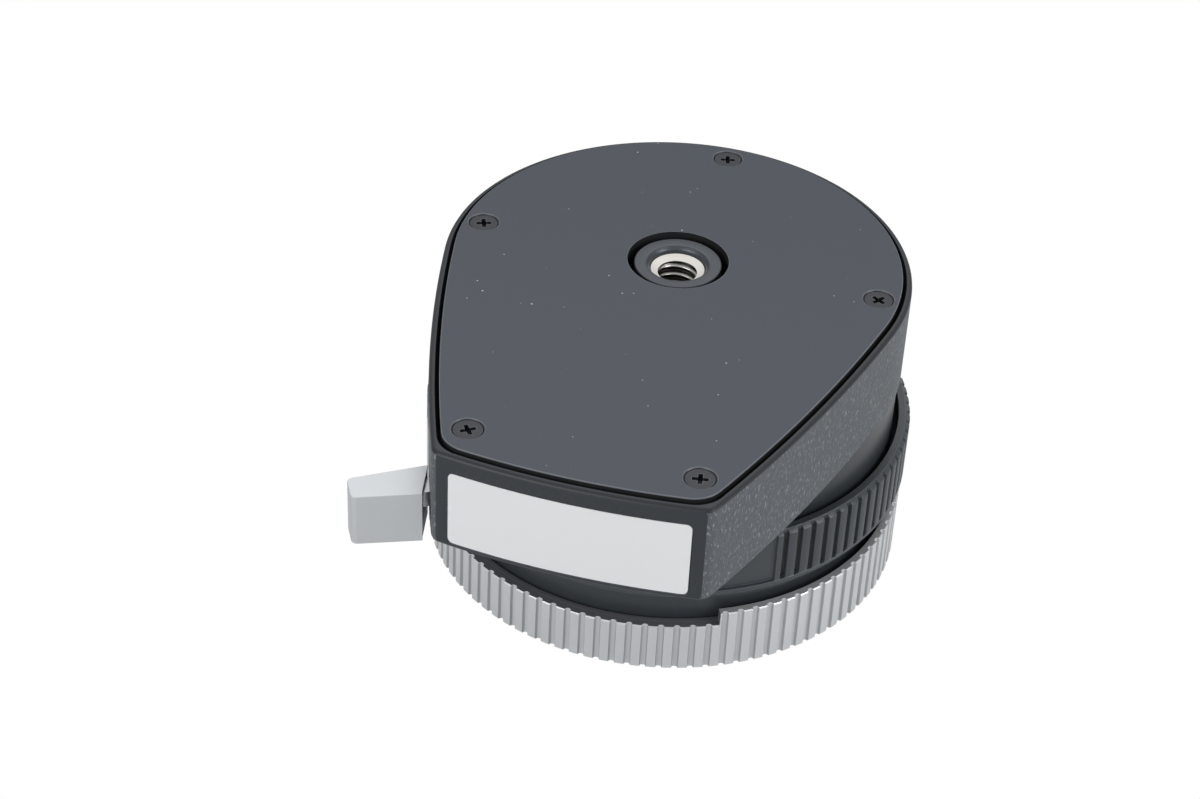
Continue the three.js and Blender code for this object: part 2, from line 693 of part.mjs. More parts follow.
// Grip ring: grooved all round but for the smooth front, on a plain flange
function selectorRing() {
  const centres = [];
  const start = 1.5 * Math.PI + gripSlots.first;
  for (let i = 0; i < gripSlots.count; i += 1) centres.push(start + gripSlots.pitch * i);
  const outline = groovedOutline(gripRadius, gripSmoothRadius, centres, gripSlots.width, gripSlots.depth);
  const flangeTop = selectorBottom + gripFlangeHeight;
  const ribs = prism(outline, flangeTop - seat, selectorTop);
  const shell = revolve([
    [neckRadius + slidingFit, selectorBottom],
    [gripRadius - gripChamfer, selectorBottom],
    [gripRadius - gripChamfer, selectorBottom + gripFlangeLip / 2],
    [gripRadius, selectorBottom + gripFlangeLip],
    [gripRadius, selectorTop - gripChamfer],
    [gripBore + gripTopFace, selectorTop],
    [gripBore, selectorTop],
    [gripBore, selectorTop - gripBoreDepth],
    [neckRadius + slidingFit, selectorTop - gripBoreDepth - gripBoreTaper],
  ], fine);
  const flange = disc(gripRadius + overrun, selectorBottom - overrun, flangeTop, fine);
  let body = shell.intersect(ribs.add(flange));
  body = body.subtract(tabSolid(seat, tabBack - seat, gripRadius + 2 * overrun));
  const pinHole = solid(new THREE.CylinderGeometry(selectorPinRadius + seat, selectorPinRadius + seat,
    gripRadius, pinFacets).rotateZ(Math.PI / 2).translate(gripRadius / 2, 0, selectorPinHeight));
  const reach = disc(gripSmoothRadius - 2 * seat - gripSlots.depth, selectorBottom, selectorTop, fine);
  for (const angle of selectorPinAngles) body = body.subtract(spin(pinHole, angle).intersect(reach));
  return body;
}
add('selector_ring', selectorRing(), 0x303336, 0.5, 0.4);
add('selector_tab', tabSolid(0, tabBack, tabFace), 0xc9cdd0, 0.3, 0.9);

const pinEnd = gripSmoothRadius - gripSlots.depth - runningFit;
addEach('selector_pin', selectorPinAngles.map((angle) => {
  const length = pinEnd - rampBore;
  const pin = new THREE.CylinderGeometry(selectorPinRadius, selectorPinRadius, length, pinFacets);
  return spin(solid(pin.rotateZ(Math.PI / 2).translate(rampBore + length / 2, 0, selectorPinHeight)), angle);
}), 0x9a9ea2, 0.3, 0.9);

// Ramp ring inside the neck: its top edge climbs as the grip ring turns
function rampRing() {
  const end = 1.5 * Math.PI + Math.asin(carrierToe.offset / rampRadius);
  const start = end - selectorTravel - rampLead;
  const rise = (angle) => {
    const share = Math.min(Math.max((end - angle) / selectorTravel, 0), 1);
    return rampLow + rampRise * share;
  };
  const steps = rampFacets;
  let body = tube(rampBore, rampRadius, rampBottom, rampLow, fine);
  const places = [];
  const quads = [];
  for (let i = 0; i <= steps; i += 1) {
    const angle = start + ((end - start) * i) / steps;
    const inner = onCircle(rampBore, angle);
    const outer = onCircle(rampRadius * Math.cos(Math.PI / fine), angle);
    const high = Math.max(rise(angle), rampLow + seat);
    places.push([inner, rampLow - seat], [outer, rampLow - seat], [outer, high], [inner, high]);
  }
  for (let i = 0; i < steps; i += 1) {
    for (let k = 0; k < 4; k += 1) {
      quads.push([4 * i + k, 4 * i + ((k + 1) % 4), 4 * i + 4 + ((k + 1) % 4), 4 * i + 4 + k]);
    }
  }
  quads.push([3, 2, 1, 0], [4 * steps, 4 * steps + 1, 4 * steps + 2, 4 * steps + 3]);
  const values = [];
  for (const [a, b, c, d] of quads) {
    for (const id of [a, b, c, a, c, d]) values.push(places[id][0].x, places[id][0].y, places[id][1]);
  }
  const ramp = new THREE.BufferGeometry();
  ramp.setAttribute('position', new THREE.Float32BufferAttribute(values, 3));
  body = body.add(solid(ramp));
  const hole = solid(new THREE.CylinderGeometry(selectorPinRadius + seat, selectorPinRadius + seat,
    neckRadius, pinFacets).rotateZ(Math.PI / 2).translate(neckRadius, 0, selectorPinHeight));
  for (const angle of selectorPinAngles) body = body.subtract(spin(hole, angle));
  return body;
}
add('ramp_ring', rampRing(), 0x8f8a6a, 0.35, 0.9);

// Silver pan ring: fluted outside, thin above its flange, lower along the reading window
function panRing() {
  const centres = [];
  for (let i = 0; i < flutes.count; i += 1) centres.push((turn * i) / flutes.count);
  const outline = groovedOutline(panRadius, panRadius, centres, flutes.width, flutes.depth);
  const plateSeat = platformRadius + seat;
  const outside = prism(outline, panRingBottom, panRingTop);
  const hollow = revolve([
    [0, panRingBottom - overrun], [plateSeat, panRingBottom - overrun],
    [plateSeat, platformTop + seat], [panFlangeBore, platformTop + seat],
    [panFlangeBore, platformTop + seat + panFlange.height], [panBore, platformTop + seat + panFlange.height],
    [panBore, panRingTop + overrun], [0, panRingTop + overrun],
  ], fine);
  let body = outside.subtract(hollow);
  const cut = sector(panRadius + overrun, 1.5 * Math.PI + windowStart, 1.5 * Math.PI + windowEnd,
    panRingTop - windowDrop, panRingTop + overrun);
  body = body.subtract(cut.subtract(disc(panBore - overrun, panRingBottom, panRingTop + 2 * overrun, coarse)));
  return body.subtract(ringScrewHoles());
}
const ringScrewAngles = [0, 1, 2].map((i) => (turn * i) / 3 + 30 * degree);
const platformScrewAngles = [0, 1, 2].map((i) => (turn * i) / 3 + 90 * degree);
function ringScrewHoles() {
  const hole = disc(ringScrew.shank + seat, platformBottom, platformTop + panFlange.height + overrun, coarse);
  return join(ringScrewAngles.map((angle) => {
    const place = onCircle(ringScrewCircle, angle);
    return at(hole, place.x, place.y);
  }));
}
add('pan_ring', panRing(), 0xb7bbbe, 0.35, 0.9);
add('scale_ring', tube(scaleRingRadius - scaleRingWall, scaleRingRadius,
  platformTop + panFlange.height + 2 * seat, panRingTop - windowDrop, fine), 0x2c2e31, 0.45, 0.5);

// Screws that enter the platform from the pad side
function platformScrewBody(size) {
  const body = crossScrew(size.head, size.headHeight, size.shank - seat, size.length, coarse);
  return body.mirror([0, 0, 1]).translate([0, 0, platformBottom + seat]);
}
function platformScrewHole(size) {
  const hole = countersink(size.head + slidingFit, size.headHeight + slidingFit, size.shank + seat,
    size.length);
  return hole.mirror([0, 0, 1]).translate([0, 0, platformBottom + seat]);
}
function platformPlate() {
  let body = tube(cameraScrew.radius + runningFit, platformRadius, platformBottom, platformTop, fine);
  for (const angle of platformScrewAngles) {
    const place = onCircle(platformScrewCircle, angle);
    body = body.subtract(at(platformScrewHole(platformScrew), place.x, place.y));
  }
  for (const angle of ringScrewAngles) {
    const place = onCircle(ringScrewCircle, angle);
    body = body.subtract(at(platformScrewHole(ringScrew), place.x, place.y));
  }
  return body;
}
add('platform_plate', platformPlate(), 0x3a3c3f, 0.5, 0.6);
add('platform_pad', tube(padHoleRadius, padRadius, 0, padThickness, fine), 0x1f1f1f, 0.9, 0);
addEach('platform_screw', screwRing(platformScrewBody(platformScrew), platformScrewCircle,
  platformScrewAngles), 0x8c9094, 0.35, 0.9);
addEach('ring_screw', screwRing(platformScrewBody(ringScrew), ringScrewCircle, ringScrewAngles),
  0x8c9094, 0.35, 0.9);

// Pan hub: a flange on the platform and a stepped tube that carries the click discs
const plainBushRadius = spindleRadius + slidingFit + bushWall;
const hubBottom = platformTop + seat;
function panHub() {
  const bore = plainBushRadius + seat;
  const shoulder = spindleRadius + 2 * runningFit;
  let body = revolve([
    [hubWellRadius, hubBottom],
    [hubFlangeRadius, hubBottom],
    [hubFlangeRadius, hubBottom + hubFlange.height],
    [hubShoulder, hubBottom + hubFlange.height],
    [hubShoulder, discFirst - seat],
    [hubRadius, discFirst - seat],
    [hubRadius, hubTop],
    [bore, hubTop],
    [bore, hubTop - plainBushLength - seat],
    [shoulder, hubTop - plainBushLength - seat],
    [shoulder, hubWellTop + plainBushLength + seat],
    [bore, hubWellTop + plainBushLength + seat],
    [bore, hubWellTop],
    [hubWellRadius, hubWellTop],
  ], medium);
  for (const angle of platformScrewAngles) {
    const place = onCircle(platformScrewCircle, angle);
    body = body.subtract(at(platformScrewHole(platformScrew), place.x, place.y));
  }
  return body;
}
add('pan_hub', panHub(), 0x9ea2a6, 0.35, 0.9);
const plainBushBore = spindleRadius + slidingFit;
add('lower_bush', tube(plainBushBore, plainBushRadius, hubWellTop + seat, hubWellTop + plainBushLength, medium),
  0xa8843a, 0.35, 0.9);
add('upper_bush', tube(plainBushBore, plainBushRadius, hubTop - plainBushLength, hubTop - seat, medium),
  0xa8843a, 0.35, 0.9);

// Click discs with their notches, spaced along the hub
function clickDisc(count, bottom) {
  const shape = new THREE.Shape();
  const centre = discRadius + discNotchRadius - discNotchDepth;
  const along = (discRadius ** 2 + centre ** 2 - discNotchRadius ** 2) / (2 * centre);
  const half = Math.acos(along / discRadius);
  for (let i = 0; i < count; i += 1) {
    const middle = (turn * i) / count - Math.PI / 2;
    const mouth = onCircle(discRadius, middle + half);
    const hub = onCircle(centre, middle);
    const open = Math.atan2(mouth.y - hub.y, mouth.x - hub.x);
    const sweep = 2 * (Math.PI - ((open - middle + 2 * turn) % turn));
    for (let k = 0; k <= notchFacets; k += 1) {
      const place = onCircle(discNotchRadius, open + sweep * (1 - k / notchFacets)).add(hub);
      if (i === 0 && k === 0) shape.moveTo(place.x, place.y);
      else shape.lineTo(place.x, place.y);
    }
    const rimSteps = Math.round(medium / count);
    const rimAngle = turn / count - 2 * half;
    for (let k = 1; k < rimSteps; k += 1) {
      const place = onCircle(discRadius, middle + half + (rimAngle * k) / rimSteps);
      shape.lineTo(place.x, place.y);
    }
  }
  shape.holes.push(new THREE.Path(arc(new THREE.Vector2(), hubRadius + seat, turn, 0, medium)));
  const collar = tube(hubRadius + seat, discCollar, bottom, bottom + discPitch - 2 * seat, medium);
  return prism(shape, bottom, bottom + discThickness, coarse).add(collar);
}
discNotchCounts.forEach((count, i) => {
  add(`click_disc_${count}`, clickDisc(count, discFirst + discPitch * i), 0x8e9296, 0.3, 0.95);
});
const clampBottom = discFirst + discPitch * discNotchCounts.length;
add('disc_clamp_ring', tube(hubRadius + seat, hubRadius + clampRing.wall, clampBottom,
  clampBottom + clampRing.height, medium),
  0x777b80, 0.4, 0.9);
add('upper_thrust_washer', tube(spindleRadius + runningFit, hubRadius, hubTop + seat, housingBottom - seat,
  medium), 0xa8843a, 0.35, 0.9);

// Lock nut and thrust washer on the end of the spindle
const nutBottom = spindleEnd + seat * 2;
const nutShape = new THREE.Shape([0, 1, 2, 3, 4, 5].map(
  (i) => onCircle(nutAcrossFlats / Math.sqrt(3), (turn * i) / 6)));
add('spindle_nut', prism(nutShape, nutBottom, nutBottom + nutHeight)
  .subtract(disc(spindleThread.radius + seat, nutBottom - overrun, nutBottom + nutHeight + overrun)),
  0x9a9ea2, 0.35, 0.9);
add('lower_thrust_washer', tube(spindleRadius + slidingFit, washerRadius,
  nutBottom + nutHeight + seat, hubWellTop - seat, medium), 0xa8843a, 0.35, 0.9);

// Click carrier between two posts, with the sleeve that pushes a sprung tip into the notches
const plungerHeight = discFirst + discThickness / 2;
const carrierBottom = plungerHeight - carrier.height / 2;
function rodAlongY(radius, from, to, endRadius = radius) {
  const rod = new THREE.CylinderGeometry(endRadius, radius, to - from, coarse);
  return at(solid(rod), 0, (from + to) / 2, plungerHeight);
}
function detentCarrier() {
  const half = carrier.width / 2;
  let body = block(-half, half, -carrierBack, -carrierFront, carrierBottom, carrierBottom + carrier.height);
  const toeHalf = carrierToe.width / 2;
  const toeBottom = rampLow + runningFit;
  const toe = block(carrierToe.offset - toeHalf, carrierToe.offset + toeHalf, -rampRadius, seat - carrierBack,
    toeBottom, toeBottom + carrierToe.thickness);
  body = body.add(toe.intersect(disc(rampRadius - runningFit, rampBottom, rampLow + rampRise, fine)));
  for (const side of [-1, 1]) {
    const hole = disc(guidePost.radius + slidingFit, carrierBottom - overrun,
      carrierBottom + carrier.height + overrun, coarse);
    body = body.subtract(at(hole, side * guidePost.offset, carrierMiddle));
  }
  return body.subtract(rodAlongY(sleeve.radius + slidingFit, -carrierBack - overrun, overrun - carrierFront));
}
add('detent_carrier', detentCarrier(), 0x6f7377, 0.4, 0.8);
addEach('guide_post', [-1, 1].map((side) => at(disc(guidePost.radius, guidePost.bottom,
  floorTop - seat, coarse), side * guidePost.offset, carrierMiddle)), 0xa9adb0, 0.25, 1);

const sleeveBore = sleeve.radius - sleeve.wall;
const sleeveBack = -(tailFront + seat);
const boreEnd = sleeve.floor - tailFront;
function detentPlunger() {
  const half = plungerTail.thickness / 2;
  const left = pinSwing + dropPin.radius + runningFit + plungerTail.wall;
  const tail = block(-left, plungerTail.right, -rampBore, -tailFront,
    plungerHeight - half, plungerHeight + half);
  const inside = disc(rampBore - runningFit, plungerHeight - sleeve.radius, plungerHeight + sleeve.radius,
    fine);
  const body = rodAlongY(sleeve.radius, sleeveBack, -sleeveFront).add(tail.intersect(inside));
  return body.subtract(dropPinFork(half)).subtract(rodAlongY(sleeveBore, boreEnd, overrun - sleeveFront));
}
function dropPinFork(half) {
  const clear = dropPin.radius + runningFit;
  return block(-pinSwing - clear, clear, dropPinPlace.y - clear, dropPinPlace.y + clear,
    plungerHeight - half - overrun, plungerHeight + half + overrun);
}
add('detent_plunger', detentPlunger(), 0xb4b8bb, 0.2, 1);
const tipRadius = sleeveBore - slidingFit;
const tipCone = -(tipFront + detentTip.cone);
add('detent_tip', rodAlongY(tipRadius, tipCone, -tipFront, tipRadius * detentTip.endShare).add(
  rodAlongY(tipRadius, tipCone - detentTip.length, tipCone)), 0xb4b8bb, 0.2, 1);

// A round-wire coil about Z, as one closed tube, that may widen towards its foot
function coil(footRadius, topRadius, wire, turns, bottom, height) {
  class Helix extends THREE.Curve {
    getPoint(t, target = new THREE.Vector3()) {
      const angle = turn * turns * t;
      const radius = footRadius + (topRadius - footRadius) * t;
      return target.set(radius * Math.cos(angle), radius * Math.sin(angle), bottom + height * t);
    }
  }
  const section = new THREE.Shape(arc(new THREE.Vector2(), wire, 0, turn, coilFacets.section));
  return solid(new THREE.ExtrudeGeometry(section, {
    extrudePath: new Helix(), steps: turns * coilFacets.turn, bevelEnabled: false,
  }));
}
const detentCoilRadius = tipRadius - detentWire - seat;
const detentCoilStart = tipCone - detentTip.length - detentWire - seat;
const detentCoilLength = detentCoilStart - boreEnd - detentWire - seat;
add('detent_spring', at(coil(detentCoilRadius, detentCoilRadius, detentWire, 3, 0, detentCoilLength)
  .rotate([90, 0, 0]), 0, detentCoilStart, plungerHeight), 0xb4b8bb, 0.3, 1);

// Lever: a tapered silver handle on a flat arm that swings on a shouldered pin
function leverArmSolid() {
  const half = leverArm.width / 2;
  const outer = block(0, handle.start + handle.length / 2, -half, half, leverArmBottom, leverArmTop);
  const inner = block(0, pinArm.length() + half, -half, half, leverArmBottom, leverArmTop);
  const eye = disc(leverArm.eye, leverArmBottom, leverArmTop, coarse);
  const pinHole = disc(dropPin.radius + seat, leverArmBottom - overrun, leverArmTop + overrun, pinFacets);
  let body = spin(outer, leverDirection).add(spin(inner, pinArm.angle())).add(eye);
  body = body.subtract(disc(leverPin.radius + slidingFit, leverArmBottom - overrun, leverArmTop + overrun,
    coarse));
  return at(body.subtract(at(pinHole, pinArm.x, pinArm.y)), leverPivot.x, leverPivot.y);
}
add('lever_arm', leverArmSolid(), 0x8e9296, 0.4, 0.9);
add('lever_drop_pin', at(disc(dropPin.radius, dropPin.bottom, leverArmTop, pinFacets),
  dropPinPlace.x, dropPinPlace.y), 0xa9adb0, 0.3, 1);
add('lever_pivot_pin', at(revolve([
  [0, housingBottom], [leverPin.radius, housingBottom], [leverPin.radius, leverArmTop + seat * 2],
  [leverPin.head, leverArmTop + seat * 2], [leverPin.head, leverArmTop + seat * 2 + leverPin.headHeight],
  [0, leverArmTop + seat * 2 + leverPin.headHeight],
], coarse), leverPivot.x, leverPivot.y), 0xa9adb0, 0.3, 1);
add('lever_washer', at(tube(leverPin.radius + seat, leverArm.eye, floorTop + seat, leverArmBottom - seat,
  coarse), leverPivot.x, leverPivot.y), 0xa8843a, 0.4, 0.8);

function leverHandle() {
  const r = handle.round;
  const x0 = handle.start;
  const x1 = handle.start + handle.length;
  const inner = handle.inner / 2;
  const outer = handle.outer / 2;
  const shape = new THREE.Shape();
  shape.moveTo(x0, -inner);
  shape.lineTo(x1 - r, -outer);
  shape.absarc(x1 - r, r - outer, r, -Math.PI / 2, 0, false);
  shape.absarc(x1 - r, outer - r, r, 0, Math.PI / 2, false);
  shape.lineTo(x0, inner);
  const edge = r / 3;
  const options = {
    depth: handle.height - 2 * edge, bevelEnabled: true, bevelThickness: edge, bevelSize: edge,
    bevelOffset: -edge, bevelSegments: 2, curveSegments: 4,
  };
  let body = solid(new THREE.ExtrudeGeometry(shape, options).translate(0, 0, handle.bottom + edge));
  const half = leverArm.width / 2 + seat;
  body = body.subtract(block(x0 - overrun, x0 + handle.length / 2 + seat, -half, half,
    leverArmBottom - seat, leverArmTop + seat));
  body = at(spin(body, leverDirection), leverPivot.x, leverPivot.y);
  const wall = teardropSolid(outerGrow + runningFit, housingCornerRadius + runningFit, 0, coverTop);
  for (const share of [0, 1]) {
    const turned = spin(at(wall, -leverPivot.x, -leverPivot.y), -leverTravel * share);
    body = body.subtract(at(turned, leverPivot.x, leverPivot.y));
  }
  return body;
}
add('lever_handle', leverHandle(), 0xcdd1d4, 0.35, 0.8);

// Spirit level let into the nose from below, under the sweep of the lever arm
const levelTop = housingBottom + levelDepth;
add('level_bezel', at(revolve([
  [level.glass + seat, housingBottom - level.proud], [level.bezel, housingBottom - level.proud],
  [level.bezel, levelTop], [0, levelTop],
  [0, levelTop - level.cap], [level.glass + seat, levelTop - level.cap],
], medium), 0, -levelReach), 0x9a9ea2, 0.35, 0.9);
add('level_vial', at(revolve([
  [0, housingBottom], [level.glass * level.domeShare, housingBottom + seat],
  [level.glass, housingBottom + level.proud],
  [level.glass, levelTop - level.cap - seat], [0, levelTop - level.cap - seat],
], medium), 0, -levelReach), 0xb9c46a, 0.1, 0);

// Camera screw, drawn back flush with the pad by its spring
function cameraScrewSolid() {
  const top = cameraScrew.reach + seat + cameraScrew.headHeight;
  const body = revolve([
    [0, 0], [cameraScrew.radius - cameraScrew.chamfer, 0], [cameraScrew.radius, cameraScrew.chamfer],
    [cameraScrew.radius, cameraScrew.reach + seat], [cameraScrew.head, cameraScrew.reach + seat],
    [cameraScrew.head, top], [0, top],
  ], coarse);
  const half = cameraScrew.slot / 2;
  return body.subtract(block(-cameraScrew.head - overrun, cameraScrew.head + overrun, -half, half,
    top - cameraScrew.headHeight / 2, top + overrun));
}
add('camera_screw', cameraScrewSolid(), 0xb4b8bb, 0.25, 1);
const springFoot = platformTop + seat + cameraSpring.wire;
add('screw_spring', coil(cameraSpring.footRadius, cameraSpring.topRadius, cameraSpring.wire,
  cameraSpring.turns, springFoot, cameraScrew.reach - cameraSpring.wire - springFoot), 0xb4b8bb, 0.3, 1);

group.position.y = (plateReach + outerGrow - gripRadius) / 2;
export default group;
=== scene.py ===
# %% [markdown]
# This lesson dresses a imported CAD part, a panoramic tripod head, so that it looks like the real
# object. It could be modelled from nothing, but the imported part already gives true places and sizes,
# so each finer piece is built there and takes the place of its plain CAD node.

# %% Load the frame
import json
import math

import bmesh
import bpy
from mathutils import Matrix, Vector


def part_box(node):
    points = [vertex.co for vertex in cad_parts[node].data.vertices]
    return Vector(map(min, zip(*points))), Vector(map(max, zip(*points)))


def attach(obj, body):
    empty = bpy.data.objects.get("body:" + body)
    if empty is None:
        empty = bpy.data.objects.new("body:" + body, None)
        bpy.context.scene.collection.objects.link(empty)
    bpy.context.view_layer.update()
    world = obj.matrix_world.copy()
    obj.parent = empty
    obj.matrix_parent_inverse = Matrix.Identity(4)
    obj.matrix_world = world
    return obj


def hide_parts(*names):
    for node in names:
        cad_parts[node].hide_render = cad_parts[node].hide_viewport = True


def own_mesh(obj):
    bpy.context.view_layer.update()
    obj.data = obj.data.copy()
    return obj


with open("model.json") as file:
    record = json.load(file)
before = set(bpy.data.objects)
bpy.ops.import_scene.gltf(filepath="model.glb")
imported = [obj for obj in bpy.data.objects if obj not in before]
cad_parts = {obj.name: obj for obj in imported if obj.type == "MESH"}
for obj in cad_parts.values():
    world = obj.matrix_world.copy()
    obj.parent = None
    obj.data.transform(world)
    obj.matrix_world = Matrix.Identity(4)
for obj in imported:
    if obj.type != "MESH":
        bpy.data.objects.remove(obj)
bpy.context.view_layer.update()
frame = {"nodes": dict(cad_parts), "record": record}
nodes = frame["nodes"]

# %% [markdown]
# Lengths are in millimetres, as on a drawing of such a head. They could all be typed in, but most
# are read from the CAD nodes, so they can't drift. Points are given from the pan axis, which isn't
# the middle of the part because the nose sticks out.

# %% Sizes and places
MM = 0.001
TURN = 2 * math.pi


def span(name, axis=2):
    """Lowest and highest place of a CAD node along one axis, in millimetres."""
    low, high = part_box(name)
    return low[axis] / MM, high[axis] / MM


def radius_of(name):
    """Half the width of a piece from left to right, which is the radius of a turned one."""
    low, high = span(name, 0)
    return (high - low) / 2


PAN_Y = sum(span("pan_ring", 1)) / 2


def place(x, y, z):
    """A point given from the pan axis in millimetres, as a point of the scene in metres."""
    return Vector((x * MM, (y + PAN_Y) * MM, z * MM))


def polar(radius, angle, centre=(0, 0)):
    return centre[0] + radius * math.cos(angle), centre[1] + radius * math.sin(angle)


def beside(origin, angle, along, aside):
    """A point of the plan, so far along a direction and so far to the left of it."""
    ux, uy = math.cos(angle), math.sin(angle)
    return origin[0] + along * ux - aside * uy, origin[1] + along * uy + aside * ux


def middle_of(name):
    """Centre of a CAD node in the plan, from the pan axis."""
    return sum(span(name, 0)) / 2, sum(span(name, 1)) / 2 - PAN_Y


print("the pan axis stands at", tuple(round(c, 5) for c in place(0, 0, 0)))

# %% [markdown]
# A shape that no single operator makes, such as a wall that follows a teardrop, is a grid of rows.
# Bridged loops could do it, but the grid also tells which faces lie in which band, and that is handy
# for their materials. Shading is smooth, with sharp edges where faces meet at a steep angle.

# %% Meshes from rows
SHARP = 32
WELD = 1e-7
EVEN_WEIGHT = 60


def link_object(name, data):
    made = bpy.data.objects.new(name, data)
    bpy.context.scene.collection.objects.link(made)
    return made


def smooth(obj, sharp=SHARP, weighted=True):
    mesh = obj.data
    mesh.polygons.foreach_set("use_smooth", [True] * len(mesh.polygons))
    mesh.set_sharp_from_angle(angle=math.radians(sharp))
    if weighted and "even light" not in obj.modifiers:
        modifier = obj.modifiers.new("even light", "WEIGHTED_NORMAL")
        modifier.keep_sharp = True
        modifier.weight = EVEN_WEIGHT


def finish_mesh(name, bm, sharp=SHARP, weighted=True):
    bmesh.ops.remove_doubles(bm, verts=bm.verts, dist=WELD)
    bmesh.ops.recalc_face_normals(bm, faces=bm.faces)
    mesh = bpy.data.meshes.new(name)
    bm.to_mesh(mesh)
    bm.free()
    made = link_object(name, mesh)
    smooth(made, sharp, weighted)
    return made


def grid(name, rows, sharp=SHARP, weighted=True, ring=False, look=None):
    """Joins closed rows of points one by one, and the last to the first in a ring. look gives the
    material of a face from the number of its band and from the face."""
    bm = bmesh.new()
    loops = [[bm.verts.new(point) for point in row] for row in rows]
    count = len(loops[0])
    for number, (low, high) in enumerate(zip(loops, loops[1:] + loops[:ring])):
        for i in range(count):
            after = (i + 1) % count
            face = bm.faces.new((low[i], low[after], high[after], high[i]))
            if look:
                face.material_index = look(number, face)
    if not ring:
        bm.faces.new(reversed(loops[0]))
        bm.faces.new(loops[-1])
    return finish_mesh(name, bm, sharp, weighted)


print("rows of points become closed meshes")

# %% [markdown]
# Most pieces of such a head come off a lathe. A Screw modifier could make them, but a profile spun
# once round its axis is a finished mesh at once. Its corners are rounded before the spin, where a
# tool would leave them soft.

# %% Turned pieces
STEPS = {"ring": 256, "disc": 192, "boss": 128, "hole": 96, "level": 64, "screw": 48}


def lathe(name, profile, steps, centre=(0, 0), ring=True, sharp=SHARP):
    """Spins a profile once round. A ring's profile is closed; otherwise both ends are capped."""
    bm = bmesh.new()
    verts = [bm.verts.new(place(centre[0] + radius, centre[1], z)) for radius, z in profile]
    edges = [bm.edges.new(pair) for pair in zip(verts, verts[1:] + verts[:ring])]
    bmesh.ops.spin(bm, geom=verts + edges, cent=place(*centre, 0), axis=(0, 0, 1), angle=TURN,
                   steps=STEPS[steps], use_merge=True)
    if not ring:
        bmesh.ops.holes_fill(bm, edges=bm.edges)
    return finish_mesh(name, bm, sharp)


def rounded(points, radii, steps=4):
    """A profile with its corners rounded: radii gives one radius for each point, 0 keeps it."""
    result = []
    count = len(points)
    for i, (point, radius) in enumerate(zip(points, radii)):
        here = Vector(point)
        if radius == 0:
            result.append(tuple(here))
            continue
        before = (Vector(points[i - 1]) - here).normalized()
        after = (Vector(points[(i + 1) % count]) - here).normalized()
        half = before.angle(after) / 2
        reach = radius / math.tan(half)
        centre = here + (before + after).normalized() * (radius / math.sin(half))
        first = here + before * reach - centre
        last = here + after * reach - centre
        sweep = first.angle_signed(last)
        for k in range(steps + 1):
            turned = Matrix.Rotation(-sweep * k / steps, 2) @ first
            result.append(tuple(centre + turned))
    return result


def tube(name, inner, outer, low, high, radii, steps):
    """A plain tube. radii rounds its corners, from the lower inner one outwards and up."""
    corners = [(inner, low), (outer, low), (outer, high), (inner, high)]
    return lathe(name, rounded(corners, radii), steps)


print("profiles become turned pieces")

# %% [markdown]
# Slots, recesses and holes are milled into the real pieces. They could be modelled face by face,
# but a boolean cuts them out of a finished solid more simply. It is made for good, because a live
# one would need its cutter in the scene.

# %% Cuts and round edges
def cut(obj, cutter):
    modifier = obj.modifiers.new("cut", "BOOLEAN")
    modifier.operation = "DIFFERENCE"
    modifier.solver = "EXACT"
    modifier.object = cutter
    for other in [m for m in obj.modifiers if m != modifier]:
        obj.modifiers.remove(other)
    bpy.context.view_layer.update()
    graph = bpy.context.evaluated_depsgraph_get()
    mesh = bpy.data.meshes.new_from_object(obj.evaluated_get(graph))
    obj.modifiers.clear()
    old = obj.data
    obj.data = mesh
    mesh.name = obj.name
    bpy.data.meshes.remove(old)
    bpy.data.objects.remove(cutter)
    smooth(obj)


def round_edges(bm, edges, width, segments=3, clamp=False):
    bmesh.ops.bevel(bm, geom=edges, offset=width, segments=segments, profile=0.5, affect="EDGES",
                    material=-1, clamp_overlap=clamp)


def drawn_up(plan, low, high):
    """A bmesh of a solid: its outline in the plan, extruded from low to high."""
    bm = bmesh.new()
    face = bm.faces.new([bm.verts.new(place(x, y, low)) for x, y in plan])
    made = bmesh.ops.extrude_face_region(bm, geom=[face])["geom"]
    raised = [item for item in made if isinstance(item, bmesh.types.BMVert)]
    bmesh.ops.translate(bm, verts=raised, vec=(0, 0, (high - low) * MM))
    return bm


def prism(name, plan, low, high):
    return finish_mesh(name, drawn_up(plan, low, high), weighted=False)


def bar_plan(origin, angle, start, end, half_start, half_end=None):
    """Outline of a bar along a direction in the plan, that may taper."""
    half_end = half_start if half_end is None else half_end
    corners = [(start, -half_start), (end, -half_end), (end, half_end), (start, half_start)]
    return [beside(origin, angle, along, aside) for along, aside in corners]


print("cutting tools ready")

# %% [markdown]
# Paint, metal and rubber share a few effects: grain, specks of dust and lighter sharp edges, worn in
# part and in part a painted highlight. Each material could hold its own copy. They are built once as
# node groups that hand out a value, so every material mixes them its own way.

# %% Shared texture groups
SPECK_REACH = 0.22
GRAIN_DETAIL = 3.0
EDGE_TURN = (0.99, 0.86)


def new_group(name, inputs, output):
    group = bpy.data.node_groups.new(name, "ShaderNodeTree")
    for label, value in inputs.items():
        socket = group.interface.new_socket(label, in_out="INPUT", socket_type="NodeSocketFloat")
        socket.default_value = value
    group.interface.new_socket(output, in_out="OUTPUT", socket_type="NodeSocketFloat")
    result = group.nodes.new("NodeGroupOutput").inputs[output]
    return group, group.nodes.new("NodeGroupInput").outputs, result


def node(tree, kind, links=(), **values):
    """A node with some of its settings and sockets filled in. links maps inputs to outputs."""
    made = tree.nodes.new(kind)
    for key, value in values.items():
        if key in made.inputs:
            made.inputs[key].default_value = value
        else:
            setattr(made, key, value)
    for target, source in dict(links).items():
        tree.links.new(source, made.inputs[target])
    return made


def object_place(tree):
    return node(tree, "ShaderNodeTexCoord").outputs["Object"]


